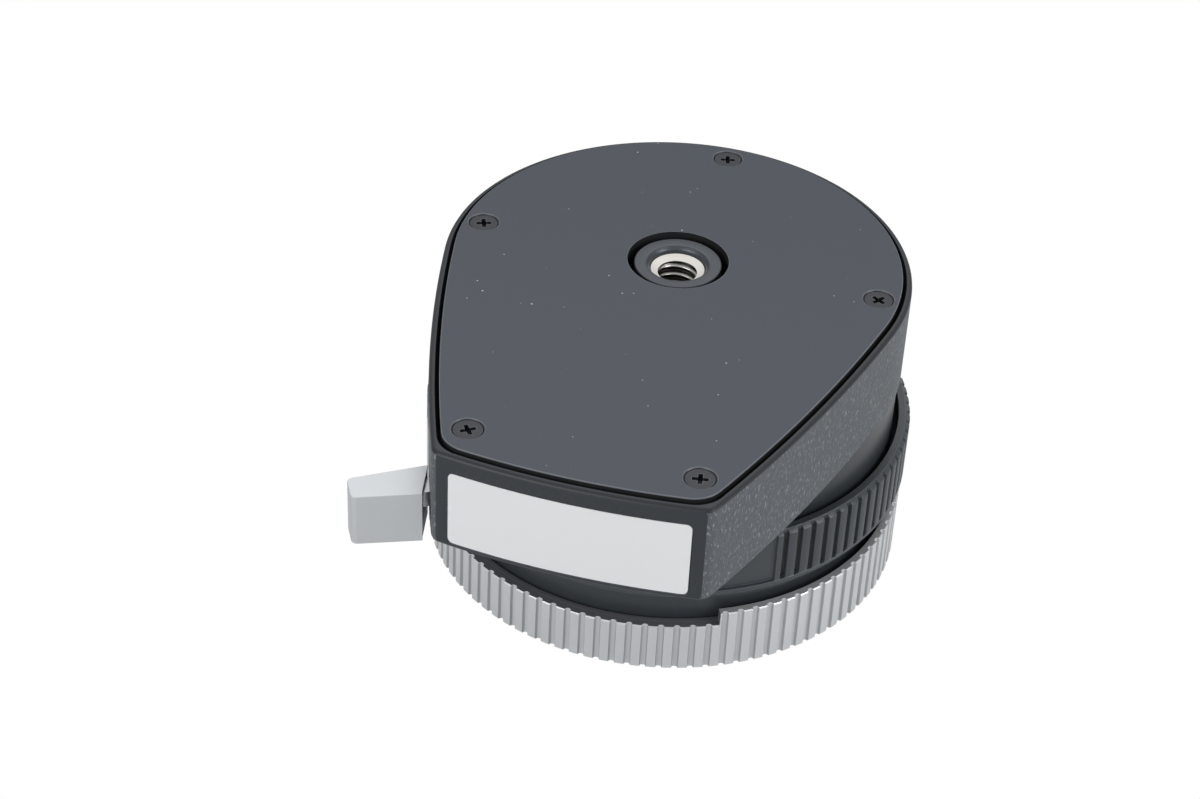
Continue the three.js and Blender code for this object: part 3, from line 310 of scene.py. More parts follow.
def combine(tree, operation, first, second):
    """One sum or comparison. second is a number or the output of another node."""
    made = node(tree, "ShaderNodeMath", {0: first}, operation=operation)
    if isinstance(second, float):
        made.inputs[1].default_value = second
    else:
        tree.links.new(second, made.inputs[1])
    return made.outputs[0]


def ramp(tree, value, low, high, to_low=0.0, to_high=1.0):
    """A value stretched so that low and high become to_low and to_high."""
    made = node(tree, "ShaderNodeMapRange", {"Value": value},
                **{"From Min": low, "From Max": high, "To Min": to_low, "To Max": to_high})
    return made.outputs["Result"]


def speck_group():
    """Sparse small light specks, as dust on a dark lid: gives a mask from 0 to 1."""
    group, into, out = new_group("dust specks", {"Size": 1200.0, "Amount": 0.1}, "Mask")
    cells = node(group, "ShaderNodeTexVoronoi", {"Vector": object_place(group), "Scale": into["Size"]})
    chosen = node(group, "ShaderNodeSeparateColor", {"Color": cells.outputs["Color"]})
    few = combine(group, "LESS_THAN", chosen.outputs["Red"], into["Amount"])
    large = combine(group, "MULTIPLY", chosen.outputs["Green"], SPECK_REACH)
    near = combine(group, "LESS_THAN", cells.outputs["Distance"], large)
    group.links.new(combine(group, "MULTIPLY", few, near), out)
    return group


def grain_group():
    """Fine even grain for satin surfaces: a height for bumps."""
    group, into, out = new_group("fine grain", {"Size": 5500.0}, "Height")
    noise = node(group, "ShaderNodeTexNoise", {"Vector": object_place(group), "Scale": into["Size"]},
                 Detail=GRAIN_DETAIL)
    group.links.new(noise.outputs["Fac"], out)
    return group


def edge_wear_and_highlight_group():
    """Lighter line where edges are sharp, from the shape itself, worn in part and in part a painted
    highlight: a mask from 0 to 1.
    """
    group, into, out = new_group("worn and highlighted edges", {"Width": 0.00015}, "Mask")
    round_edge = node(group, "ShaderNodeBevel", {"Radius": into["Width"]}, samples=6)
    flat = node(group, "ShaderNodeNewGeometry")
    dot = node(group, "ShaderNodeVectorMath",
               {0: round_edge.outputs["Normal"], 1: flat.outputs["Normal"]}, operation="DOT_PRODUCT")
    group.links.new(ramp(group, dot.outputs["Value"], *EDGE_TURN), out)
    return group


def axis_group():
    """Distance from the pan axis in millimetres, for marks that run round it."""
    group, _, out = new_group("distance from the pan axis", {}, "Distance")
    flat = node(group, "ShaderNodeVectorMath", {0: object_place(group)}, operation="MULTIPLY_ADD")
    flat.inputs[1].default_value = (1 / MM, 1 / MM, 0.0)
    flat.inputs[2].default_value = (0.0, -PAN_Y, 0.0)
    length = node(group, "ShaderNodeVectorMath", {0: flat.outputs["Vector"]}, operation="LENGTH")
    group.links.new(length.outputs["Value"], out)
    return group


DUST, GRAIN, EDGE_WEAR_AND_HIGHLIGHT, FROM_AXIS = speck_group(), grain_group(), edge_wear_and_highlight_group(), axis_group()
print("groups:", [g.name for g in (DUST, GRAIN, EDGE_WEAR_AND_HIGHLIGHT, FROM_AXIS)])

# %% [markdown]
# Every material starts from one shader and adds what its surface really has: crackle in the side
# paint, dust on the lid, turning marks on the metal. Pictures could show that too, but noise in
# object coordinates has no seams and needs no files.

# %% Material makers
GRAIN_HEIGHT = 0.00003
SATIN = {"grain": 7000.0, "strength": 0.12, "edge": 0.00018}
METAL = {"grain": 5200.0, "strength": 0.1, "edge": 0.00012}
SPECK_SIZE, SPECK_TONE = 1500.0, (0.42, 0.43, 0.44)
RING_WAVES, RING_HEIGHT = 19.0, 0.00002
PAINT = {"stretch": (1.0, 1.0, 0.55), "cells": 1700.0, "noise": 3100.0, "flecks": (0.57, 0.72),
         "pits": (0.5, 0.00016), "lumps": (0.6, 0.00014)}


def material(name, color, roughness=0.5, metallic=0.0, **extra):
    """A material with one principled shader; returns it with its tree and shader."""
    made = bpy.data.materials.new(name)
    made.use_nodes = True
    tree = made.node_tree
    shader = tree.nodes["Principled BSDF"]
    values = {"Base Color": (*color, 1.0), "Roughness": roughness, "Metallic": metallic, **extra}
    for key, value in values.items():
        shader.inputs[key.replace("_", " ")].default_value = value
    made.diffuse_color = (*color, 1.0)
    return made, tree, shader


def use(tree, group, output, **values):
    made = tree.nodes.new("ShaderNodeGroup")
    made.node_tree = group
    for key, value in values.items():
        made.inputs[key].default_value = value
    return made.outputs[output]


def bump(tree, shader, height, strength, distance, before=None):
    made = node(tree, "ShaderNodeBump", {"Height": height}, Strength=strength, Distance=distance)
    if before:
        tree.links.new(before.outputs["Normal"], made.inputs["Normal"])
    tree.links.new(made.outputs["Normal"], shader.inputs["Normal"])
    return made


def mix_color(tree, factor, low, high):
    """Mixes two colours by a mask. The low one may be a plain colour or another node's output."""
    made = node(tree, "ShaderNodeMix", {"Factor": factor}, data_type="RGBA")
    if isinstance(low, tuple):
        made.inputs[6].default_value = (*low, 1.0)
    else:
        tree.links.new(low, made.inputs[6])
    made.inputs[7].default_value = (*high, 1.0)
    return made.outputs[2]


def surface(name, color, roughness, metallic=0.0, dust=0.0, rings=0.0, wear_and_highlight=0.0, light=None):
    """Smooth paint or metal with fine grain and, where asked for, dust, turning marks about the pan axis
    and lighter sharp edges, worn in part and in part a painted highlight."""
    made, tree, shader = material(name, color, roughness, metallic)
    kind = METAL if metallic else SATIN
    mixed = color
    if dust:
        specks = use(tree, DUST, "Mask", Size=SPECK_SIZE, Amount=dust)
        mixed = mix_color(tree, specks, mixed, SPECK_TONE)
    # Lighter sharp edges: partly wear, partly painted highlight.
    if wear_and_highlight:
        edges = use(tree, EDGE_WEAR_AND_HIGHLIGHT, "Mask", Width=kind["edge"])
        mixed = mix_color(tree, ramp(tree, edges, 0.0, 1.0, 0.0, wear_and_highlight), mixed, light)
    if mixed is not color:
        tree.links.new(mixed, shader.inputs["Base Color"])
    grain = use(tree, GRAIN, "Height", Size=kind["grain"])
    first = bump(tree, shader, grain, kind["strength"], GRAIN_HEIGHT)
    if rings:
        wave = combine(tree, "MULTIPLY", use(tree, FROM_AXIS, "Distance"), RING_WAVES)
        groove = node(tree, "ShaderNodeMath", {0: wave}, operation="SINE")
        bump(tree, shader, groove.outputs[0], rings, RING_HEIGHT, first)
    return made


def crackle_paint(name, color, fleck):
    """Rough side paint: small pits and lighter flecks drawn out along the wall."""
    made, tree, shader = material(name, color)
    stretch = node(tree, "ShaderNodeMapping", {"Vector": object_place(tree)}, Scale=PAINT["stretch"])
    spot = {"Vector": stretch.outputs["Vector"]}
    cells = node(tree, "ShaderNodeTexVoronoi", spot, feature="F1", Scale=PAINT["cells"])
    noise = node(tree, "ShaderNodeTexNoise", spot, Scale=PAINT["noise"], Detail=GRAIN_DETAIL)
    flecks = ramp(tree, noise.outputs["Fac"], *PAINT["flecks"])
    tree.links.new(mix_color(tree, flecks, color, fleck), shader.inputs["Base Color"])
    first = bump(tree, shader, cells.outputs["Distance"], *PAINT["pits"])
    bump(tree, shader, noise.outputs["Fac"], *PAINT["lumps"], first)
    return made


# A thread whose roots are darker than its crests: painted shade.
def shaded_thread(name, bright, dark, crest, root):
    made, tree, shader = material(name, bright, 0.3, 1.0)
    depth = ramp(tree, use(tree, FROM_AXIS, "Distance"), crest, root)
    tree.links.new(mix_color(tree, depth, bright, dark), shader.inputs["Base Color"])
    return made


print("material makers ready")

# %% [markdown]
# The lid is a cool grey black. The sides are lighter, partly from their flecks and partly painted light,
# and the grooves of the thread carry painted shade. Looks could be set piece by piece. The record
# gives every piece a slot, so one table for the slots keeps new pieces and plain nodes alike.

# %% Materials
THREAD = {"bore": 2.55, "depth": 0.6, "pitch": 1.27, "rod": 3.1, "steep": 1.6, "flat": 0.2}
# Radii where the painted shade of the thread starts and where it is full.
THREAD_SHADE = {"crest": THREAD["bore"] + 0.08, "root": THREAD["bore"] + 0.32}
# Colour of the lighter edges on the silver parts: partly bare metal, partly painted highlight.
BARE_EDGE_AND_HIGHLIGHT = (0.95, 0.96, 0.97)
LID = surface("lid enamel", (0.033, 0.043, 0.061), 0.36, dust=0.03, wear_and_highlight=0.5, light=(0.3, 0.32, 0.35))
# Lighter grey on the lid's rounded edge and on the slopes of its screw seats: a painted highlight.
LID_EDGE_HIGHLIGHT = surface("lid edge painted highlight", (0.12, 0.13, 0.15), 0.34)
# One black paint in two copies: the nose, top and bottom faces get the darker one, and the side walls a
# lighter one, partly from flecks and partly painted light.
MATT = surface("nose enamel", (0.014, 0.019, 0.025), 0.44)
LIT_CRACKLE = crackle_paint("crackle enamel with painted light", (0.07, 0.082, 0.094), (0.25, 0.27, 0.29))
DRUM = surface("drum enamel", (0.032, 0.038, 0.044), 0.3)
GRIP = surface("grip anodised", (0.042, 0.05, 0.058), 0.34, wear_and_highlight=0.45, light=(0.24, 0.26, 0.28))
# Plain black for the camera platform. Painted shade on the housing's ledge and inner walls, on the lid's
# walls and on the floors of the grip's slots.
BLACK_AND_SHADE = surface("black and painted shade", (0.012, 0.013, 0.014), 0.5)
# One mid grey for the window. It is lighter than the black scale ring, as painted light, and darker than
# silver on the turning ring's lowered top, as painted shade.
WINDOW_LIGHT_AND_SHADE = surface("window painted light and shade", (0.1, 0.106, 0.118), 0.4)
SCREW = surface("black screws", (0.05, 0.053, 0.06), 0.38, 0.7, wear_and_highlight=0.6, light=(0.3, 0.31, 0.33))
BOSS = surface("boss metal", (0.075, 0.084, 0.096), 0.36, 0.5, rings=0.5)
BUSH = surface("bright bush", (0.8, 0.78, 0.73), 0.5, 0.6)
GROOVE = shaded_thread("bush thread", (0.7, 0.69, 0.66), (0.035, 0.034, 0.03), **THREAD_SHADE)
SILVER = surface("satin silver", (0.74, 0.76, 0.775), 0.38, 0.7, wear_and_highlight=0.3, light=BARE_EDGE_AND_HIGHLIGHT)
# Darker silver on the walls of the flutes: painted shade.
FLUTE_SHADE = surface("painted flute shade", (0.54, 0.55, 0.56), 0.4, 0.7)
LEVER = surface("lever silver", (0.62, 0.64, 0.66), 0.46, 1.0, wear_and_highlight=0.4, light=BARE_EDGE_AND_HIGHLIGHT)
PLATE = surface("blank plate", (0.76, 0.775, 0.785), 0.42, 0.3)
STEEL = surface("ground steel", (0.6, 0.61, 0.63), 0.3, 1.0)
BRONZE = surface("bearing bronze", (0.62, 0.44, 0.2), 0.34, 1.0)
ALLOY = surface("turned alloy", (0.7, 0.71, 0.73), 0.36, 1.0, rings=0.2)
RUBBER = surface("pad rubber", (0.014, 0.014, 0.014), 0.8)
GLASS = material("level glass", (0.95, 1.0, 0.9), 0.04, Transmission_Weight=1.0, IOR=1.46)[0]
LIQUID = material("level liquid", (0.62, 0.8, 0.12), 0.1, Transmission_Weight=0.6, IOR=1.34)[0]
SLOT_LOOKS = {
    "housing_paint": [LIT_CRACKLE, MATT, BLACK_AND_SHADE], "plate_paint": [LID, LID_EDGE_HIGHLIGHT, BLACK_AND_SHADE], "bare_plate": [PLATE],
    "black_screws": [SCREW], "dark_metal": [BOSS], "bright_bush": [BUSH, GROOVE], "plain_screws": [STEEL],
    "neck_black": [DRUM], "grip_black": [GRIP, BLACK_AND_SHADE], "silver": [SILVER, WINDOW_LIGHT_AND_SHADE, FLUTE_SHADE],
    "scale_black": [WINDOW_LIGHT_AND_SHADE], "platform_black": [BLACK_AND_SHADE], "pad_rubber": [RUBBER], "hub_aluminium": [ALLOY],
    "bearing_bronze": [BRONZE], "steel_works": [STEEL], "level_metal": [ALLOY], "level_glass": [GLASS],
}


def paint(obj, looks):
    if obj.data.materials:
        obj.data.materials.clear()
    for look in looks:
        obj.data.materials.append(look)


def settle(obj, body, slot, *stands_for, looks=None):
    """Gives a new piece its looks, its moving body and the CAD nodes it takes the place of."""
    paint(obj, looks or SLOT_LOOKS[slot])
    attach(obj, body)
    if stands_for:
        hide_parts(*stands_for)


print(len(bpy.data.materials), "materials")

# %% [markdown]
# The housing is a teardrop: a round back, two long bowed sides and a bowed nose. It could be drawn
# as a curve by hand. As a function of arcs it can grow and shrink, and loops of it at different
# heights give walls, rims and rounded edges.

# %% Teardrop outline
LID_BACK = radius_of("base_cover")
SHELL_GROW = radius_of("housing") - LID_BACK
LID_REACH = PAN_Y - span("housing", 1)[0] - SHELL_GROW
LID_SIDE_BOW = 224.75
LID_NOSE_BOW = 101.5
LID_CORNER = 4.06
TANGENT = math.radians(11.5)
COUNTS = {"back": 96, "side": 24, "corner": 12, "nose": 24}


def arc(centre, radius, start, end, part):
    steps = COUNTS[part]
    return [polar(radius, start + (end - start) * i / steps, centre) for i in range(steps)]


def teardrop(grow, corner):
    """Points of the outline, grown outwards by grow, with corners of radius corner."""
    side_centre = Vector((math.cos(TANGENT), -math.sin(TANGENT))) * (LID_BACK - LID_SIDE_BOW)
    nose_centre = Vector((0, LID_NOSE_BOW - LID_REACH))
    apart = nose_centre - side_centre
    from_side = LID_SIDE_BOW + grow - corner
    from_nose = LID_NOSE_BOW + grow - corner
    along = (from_side ** 2 - from_nose ** 2 + apart.length_squared) / (2 * apart.length)
    across = math.sqrt(from_side ** 2 - along ** 2)
    unit = apart.normalized()
    centre = side_centre + unit * along + Vector((unit.y, -unit.x)) * across
    to_side = math.atan2(centre.y - side_centre.y, centre.x - side_centre.x) % TURN
    to_nose = math.atan2(centre.y - nose_centre.y, centre.x - nose_centre.x) % TURN

    def mirror(angle):
        return 3 * math.pi - angle

    left_side = (-side_centre.x, side_centre.y)
    left = (-centre.x, centre.y)
    return (arc((0, 0), LID_BACK + grow, -TANGENT, math.pi + TANGENT, "back")
            + arc(left_side, LID_SIDE_BOW + grow, math.pi + TANGENT, mirror(to_side), "side")
            + arc(left, corner, mirror(to_side), mirror(to_nose), "corner")
            + arc(nose_centre, LID_NOSE_BOW + grow, mirror(to_nose), to_nose, "nose")
            + arc(centre, corner, to_nose, to_side, "corner")
            + arc(side_centre, LID_SIDE_BOW + grow, to_side, TURN - TANGENT, "side"))


def teardrop_row(grow, corner, z):
    return [place(x, y, z) for x, y in teardrop(grow, corner)]


print(len(teardrop(0, LID_CORNER)), "points round the teardrop")

# %% [markdown]
# The real housing is a hollow casting. A block could be hollowed out by cuts, but rows that climb
# the cavity, step out to the ledge for the lid and come down outside give clean rims. Only the slot
# for the lever and the hole for the spirit level are cut.

# %% Housing shell
SHELL_LOW, SHELL_TOP = span("housing")
LID_LOW, LID_TOP = span("base_cover")
GAP = 0.43
LIP = GAP / 4
SHELL_CORNER = 1.74
SHELL_EDGE = 0.72
SHELL_WALL = 1.89
SHELL_FLOOR = 1.81
CAVITY_CORNER = 1.45
SEAT = 0.04
LEVER_PIVOT = middle_of("lever_pivot_pin")
LEVER_ANGLE = math.radians(209)
LEVER_SWING = math.radians(10)
LEVER_SLOT = {"half": 1.63, "start": 3.6, "end": 16, "low": 30.23, "high": 32.84}
LEVEL_PLACE = middle_of("level_bezel")
LEVEL_RADIUS = radius_of("level_bezel")
UPRIGHT, FACING_UP, FACING_NOSE = 0.3, 0.5, -0.93


def round_over(radius, z_edge, upwards, steps=6):
    """Grow, corner and height for the rows that round the shell's outer edge."""
    rows = []
    for i in range(steps):
        angle = math.pi / 2 * i / (steps - 1)
        inset, rise = radius * (1 - math.cos(angle)), radius * (1 - math.sin(angle))
        if upwards:
            inset, rise = rise, -inset
        rows.append((SHELL_GROW - inset, max(SHELL_CORNER - inset, SEAT), z_edge + rise))
    return rows


def shell_rows():
    cavity = SHELL_GROW - SHELL_WALL
    ledge = LID_LOW - SEAT
    rows = [(cavity, CAVITY_CORNER, SHELL_LOW + SHELL_FLOOR), (cavity, CAVITY_CORNER, ledge),
            (GAP, LID_CORNER + SEAT, ledge), (GAP, LID_CORNER + SEAT, SHELL_TOP - LIP),
            (GAP + LIP, LID_CORNER, SHELL_TOP)]
    return rows + round_over(SHELL_EDGE - LIP, SHELL_TOP, True) + round_over(SHELL_EDGE, SHELL_LOW, False)


def build_housing():
    shell = grid("housing_shell", [teardrop_row(*row) for row in shell_rows()])
    for share in (0.0, 0.5, 1.0):
        plan = bar_plan(LEVER_PIVOT, LEVER_ANGLE + LEVER_SWING * share, LEVER_SLOT["start"],
                        LEVER_SLOT["end"], LEVER_SLOT["half"])
        cut(shell, prism("slot cutter", plan, LEVER_SLOT["low"], LEVER_SLOT["high"]))
    hole = [(LEVEL_RADIUS + SEAT, SHELL_LOW + up * SHELL_FLOOR) for up in (-1, 0.5)]
    cut(shell, lathe("level cutter", hole, "level", LEVEL_PLACE, ring=False))
    return shell


def inside_lid_gap(face):
    """True on the ledge and the inner walls, which lie in the dark behind the lid's edge and get painted
    shade.
    """
    level = face.center.z / MM < SHELL_TOP - LIP and face.normal.z > FACING_UP
    inwards = face.normal.x * face.center.x + face.normal.y * (face.center.y - PAN_Y * MM) < 0
    return level or (inwards and abs(face.normal.z) < UPRIGHT)


housing = build_housing()
settle(housing, "base", "housing_paint", "housing")
# Faces that look up, down or to the nose take the darker copy of the paint; the side walls keep the lighter
# one, painted light.
for face in housing.data.polygons:
    if abs(face.normal.z) >= UPRIGHT or face.normal.y < FACING_NOSE:
        face.material_index = 1
    # The ledge and the inner walls behind the lid's edge take painted shade.
    if inside_lid_gap(face):
        face.material_index = 2
print("housing faces:", len(housing.data.polygons))

# %% [markdown]
# The lid is a plate with a soft edge, held by countersunk screws. They could share one mesh, but
# each is built where it stands, with its cross at the angle that the photo shows. Conical cutters
# make their seats in the lid.

# %% Lid and its screws
SCREW_TURNS = [14, 22, 57, 36, 10]
HEAD = {"radius": 1.85, "bevel": 0.1, "rim": 0.17, "shank": 0.84, "cone": 1.1, "sunk": 0.1}
CROSS = {"reach": 0.98, "half": 0.29, "depth": 0.75}
CONE_PLAY = 0.09
LID_EDGE = 0.12
LID_SOFT = LID_EDGE * 0.3
DISH = {"wide": 0.14, "deep": 0.1}
LID_HOLE = 6.52
LID_FLAT, LID_SLOPE = 0.95, 0.7


def build_lid():
    rows = [(0, LID_CORNER, LID_LOW), (0, LID_CORNER, LID_TOP - LID_EDGE),
            (-LID_SOFT, LID_CORNER - LID_SOFT, LID_TOP - LID_SOFT),
            (-LID_EDGE, LID_CORNER - LID_EDGE, LID_TOP)]
    # The rounded bands of the edge take the second look, the painted highlight.
    made = grid("lid", [teardrop_row(*row) for row in rows], look=lambda number, face: int(number > 0))
    hole = [(LID_HOLE, LID_LOW - GAP), (LID_HOLE, LID_TOP + LID_EDGE)]
    cut(made, lathe("socket cutter", hole, "hole", ring=False))
    wide, narrow = HEAD["radius"] + CONE_PLAY, HEAD["shank"] + CONE_PLAY
    for number in range(1, 6):
        head_top = span(f"cover_screw_{number}")[1]
        cone = [(narrow, LID_LOW - GAP), (narrow, head_top - HEAD["cone"]),
                (wide, head_top - HEAD["sunk"] - CONE_PLAY), (wide, LID_TOP - DISH["deep"]),
                (wide + DISH["wide"], LID_TOP), (wide + DISH["wide"], LID_TOP + CONE_PLAY)]
        cut(made, lathe("screw cutter", cone, "screw", middle_of(f"cover_screw_{number}"), ring=False))
    return made


def build_screw(name, number):
    """A countersunk screw: a shallow rim, a flat top and one plus-shaped recess."""
    low, top = span(f"cover_screw_{number}")
    top -= HEAD["sunk"]
    centre = middle_of(f"cover_screw_{number}")
    profile = [(HEAD["shank"], low), (HEAD["shank"], top - HEAD["cone"] + SEAT),
               (HEAD["radius"], top - HEAD["rim"]), (HEAD["radius"], top - HEAD["bevel"]),
               (HEAD["radius"] - HEAD["bevel"], top)]
    made = lathe(name, profile, "screw", centre, ring=False)
    half, reach = CROSS["half"], CROSS["reach"]
    quarters = [math.radians(SCREW_TURNS[number - 1]) + quarter * math.pi / 2 for quarter in range(4)]
    plan = [beside(centre, angle, along, aside) for angle in quarters
            for along, aside in ((half, -half), (reach, -half), (reach, half))]
    cut(made, prism("cross cutter", plan, top - CROSS["depth"], top + HEAD["rim"]))
    return made


lid = build_lid()
settle(lid, "base", "plate_paint", "base_cover")
# Sloping faces of the cuts take the painted highlight, and steep walls the painted shade.
for face in lid.data.polygons:
    level = abs(face.normal.z)
    if face.material_index == 0 and level < LID_FLAT:
        face.material_index = 1 if level > LID_SLOPE else 2
for number in range(1, 6):
    settle(build_screw(f"lid_screw_{number}", number), "base", "black_screws", f"cover_screw_{number}")
print("lid faces:", len(lid.data.polygons))

# %% [markdown]
# The tripod socket is a bright bush in a dark boss. A bump could fake its thread, but one looks
# straight into it, so the thread is a real ridge that climbs one pitch for each turn. A cone above
# it leads the screw in.

# %% Tripod socket
THREAD_SHARP = 50


def thread_rows(radius, low, high, outwards, per_turn=12):
    """Rows of a threaded face: a ridge that climbs one pitch a turn and fades at both ends."""
    pitch, steps = THREAD["pitch"], STEPS["screw"]
    count = int((high - low) / pitch * per_turn)
    rows = []
    for j in range(count + 1):
        z = low + (high - low) * j / count
        fade = min(1.0, (high - z) / pitch * 2, (z - low) / pitch * 2)
        row = []
        for i in range(steps):
            phase = ((z - low) / pitch - i / steps) % 1.0
            wave = THREAD["steep"] * (1 - abs(2 * phase - 1)) - THREAD["flat"]
            ridge = THREAD["depth"] * min(1.0, max(0.0, wave)) * max(fade, 0.0)
            row.append(place(*polar(radius + outwards * ridge, TURN * i / steps), z))
        rows.append(row)
    return rows


def round_rows(profile):
    """Plain rows that go on where the rows of a thread end."""
    steps = STEPS["screw"]
    return [[place(*polar(radius, TURN * i / steps), z) for i in range(steps)]
            for radius, z in profile]


def threaded_bush(name, bore, outer, low, high, cone):
    """A bush with a thread inside; its faces are marked 1 in the bore and 0 elsewhere."""
    rows = thread_rows(bore, low, high - cone["deep"], 1)
    inner = len(rows) - 1
    rows += round_rows([(cone["wide"] - cone["lean"], high - cone["deep"]), (cone["wide"], high),
                        (outer - SEAT, high), (outer, high - SEAT), (outer, low)])
    return grid(name, rows, THREAD_SHARP, False, True, lambda number, face: int(number < inner))


BOSS_SIZES = {"radius": 5.62, "mouth": 3.98, "bore": 1.89, "step": 4.35, "shaft": 5.08}
BOSS_SOFT = [0] * 8 + [0.15, 0.6] + [0] * 3
SPINDLE_LOW, SPINDLE_TOP = span("spindle")
BUSH_LOW = span("thread_bush")[0]
BUSH_TOP = SPINDLE_TOP - 0.88
BUSH_RADIUS = 3.48
BUSH_CONE = {"wide": 3.4, "deep": 0.55, "lean": 0.715}
FOOT_LOW = SHELL_LOW + SHELL_FLOOR + SEAT
FOOT_TOP = FOOT_LOW + 2.17
STEP_TOP = SPINDLE_LOW + 2.25


def boss_profile():
    hole, foot = BUSH_RADIUS + SEAT, radius_of("spindle")
    radius, mouth, bore, step, shaft = BOSS_SIZES.values()
    points = [(bore, SPINDLE_LOW), (step, SPINDLE_LOW), (step, STEP_TOP), (shaft, STEP_TOP),
              (shaft, FOOT_LOW), (foot, FOOT_LOW), (foot, FOOT_TOP), (radius, FOOT_TOP),
              (radius, SPINDLE_TOP), (mouth, SPINDLE_TOP), (hole, BUSH_TOP), (hole, BUSH_LOW - SEAT),
              (bore, BUSH_LOW - SEAT)]
    return rounded(points, BOSS_SOFT)


settle(lathe("socket_boss", boss_profile(), "boss"), "base", "dark_metal", "spindle")
bush = threaded_bush("socket_bush", THREAD["bore"], BUSH_RADIUS, BUSH_LOW, BUSH_TOP, BUSH_CONE)
settle(bush, "base", "bright_bush", "thread_bush")
print("socket bore", round(2 * THREAD["bore"], 2), "mm")

# %% [markdown]
# The name plate is a thin bright sheet on the bowed nose, and it stays blank. A modifier could bend
# it. Here its outline is drawn flat, thickened, and moved onto the arc of the nose, so that the
# plate and the cutter for its recess fit exactly.

# %% Name plate
PLATE_SIZES = {"thick": 0.33, "sunk": 0.36, "corner": 0.72, "edge": 0.05, "gap": 0.1}
PLATE_COLUMNS = 24
RECESS_REACH = 3
SHEET_SHARP = 40
NOSE_OUT = LID_NOSE_BOW + SHELL_GROW


def sheet_on(name, outline, columns, bend, thick, edge):
    """A flat outline in (across, up), filled, cut into columns, thickened inwards and bent."""
    bm = bmesh.new()
    face = bm.faces.new([bm.verts.new((x, 0.0, z)) for x, z in outline])
    made = bmesh.ops.extrude_face_region(bm, geom=[face])["geom"]
    for vert in [item for item in made if isinstance(item, bmesh.types.BMVert)]:
        vert.co.y = -thick
    bmesh.ops.recalc_face_normals(bm, faces=bm.faces)
    rim = [e for e in bm.edges if all(v.co.y < -thick / 2 for v in e.verts)]
    if edge:
        round_edges(bm, rim, edge)
    low = min(v.co.x for v in bm.verts)
    high = max(v.co.x for v in bm.verts)
    for i in range(1, columns):
        x = low + (high - low) * i / columns
        bmesh.ops.bisect_plane(bm, geom=bm.verts[:] + bm.edges[:] + bm.faces[:], plane_co=(x, 0, 0),
                               plane_no=(1, 0, 0))
    for vert in bm.verts:
        vert.co = bend(vert.co.x, -vert.co.y, vert.co.z)
    return finish_mesh(name, bm, SHEET_SHARP)


def rounded_rect(half, low, high, radius, steps=6):
    """Outline of an upright plate with round corners, so far to each side of its middle."""
    side = half - radius
    corners = [((side, low + radius), -90), ((side, high - radius), 0),
               ((-side, high - radius), 90), ((-side, low + radius), 180)]
    return [polar(radius, math.radians(start + 90 * i / steps), centre)
            for centre, start in corners for i in range(steps + 1)]


def on_nose(across, out, up):
    """A point on the floor of the plate's recess, or out from it."""
    angle = across / NOSE_OUT
    radius = NOSE_OUT - PLATE_SIZES["sunk"] + out
    return place(radius * math.sin(angle), LID_NOSE_BOW - LID_REACH - radius * math.cos(angle), up)


def on_recess(across, out, up):
    """The same for the cutter, which starts in the recess floor and reaches well out of the nose."""
    return on_nose(across, RECESS_REACH * out - SEAT, up)


def nose_sheet(name, gap, bend, edge):
    """The plate, or with a gap round it the cutter for its recess."""
    low, high = span("name_plate")
    outline = rounded_rect(PLATE_HALF + gap, low - gap, high + gap, PLATE_SIZES["corner"] + gap)
    return sheet_on(name, outline, PLATE_COLUMNS, bend, PLATE_SIZES["thick"], edge)


PLATE_HALF = radius_of("name_plate")
plate = nose_sheet("name_plate_blank", 0, on_nose, PLATE_SIZES["edge"])
settle(plate, "base", "bare_plate", "name_plate")
cut(housing, nose_sheet("plate recess", PLATE_SIZES["gap"], on_recess, 0))
print("the blank plate is", round(2 * PLATE_HALF, 1), "mm wide")

# %% [markdown]
# The neck drum is a plain tube with two rings round it, grooved in the same pitch, 98 to a turn.
# Each groove could be cut, but so many cuts are slow and leave poor faces. A grid with more angles
# close to each groove is pulled in there, so its walls are steep and its edges crisp.

# %% Neck drum and grooves
NECK_RADIUS = radius_of("neck_drum")
NECK_WALL = 1.16
NECK_EDGE = 0.2
neck = tube("neck", NECK_RADIUS - NECK_WALL, NECK_RADIUS, *span("neck_drum"), [0, NECK_EDGE, 0, 0], "ring")
settle(neck, "base", "neck_black", "neck_drum")
GROOVES = 98
PITCH = TURN / GROOVES
RING_SHARP = 35
GRIP_SHARES = [(-1.2, 0.0), (-1.0, 0.1), (-0.86, 0.55), (-0.6, 0.95), (0.0, 1.0), (0.6, 0.95), (0.86, 0.55),
               (1.0, 0.1), (1.2, 0.0)]
FLUTE_SHARES = [(-1.08, 0.0), (-1.0, 0.12), (-0.93, 0.45), (-0.8, 0.74), (-0.5, 0.94), (0.0, 1.0),
                (0.5, 0.94), (0.8, 0.74), (0.93, 0.45), (1.0, 0.12), (1.08, 0.0)]


def groove_angles(start, count, radius, width, shares, extra=()):
    """Angles all round with more of them at each groove, and the depth share at each."""
    half = width / 2 / radius
    found = []
    for i in range(GROOVES):
        centre = start + PITCH * i
        for offset, depth in shares:
            found.append((centre + offset * half, depth if i < count else 0.0))
        found.append((centre + PITCH / 2, 0.0))
    for angle in extra:
        found.append((start + (angle - start) % TURN, 0.0))
    return sorted(found)


def grooved_ring(name, profile, angles, reach, look):
    """reach moves a point of the profile at an angle, and look picks the material of a face."""
    rows = []
    for point in profile:
        moved = [(reach(point, angle, depth), angle) for angle, depth in angles]
        rows.append([place(*polar(radius, angle), z) for (radius, z), angle in moved])

    def look_of(number, face):
        x, y, z = face.calc_center_median() / MM
        return look(number, math.hypot(x, y - PAN_Y), math.atan2(y - PAN_Y, x) % TURN, z)

    return grid(name, rows, RING_SHARP, False, True, look_of)


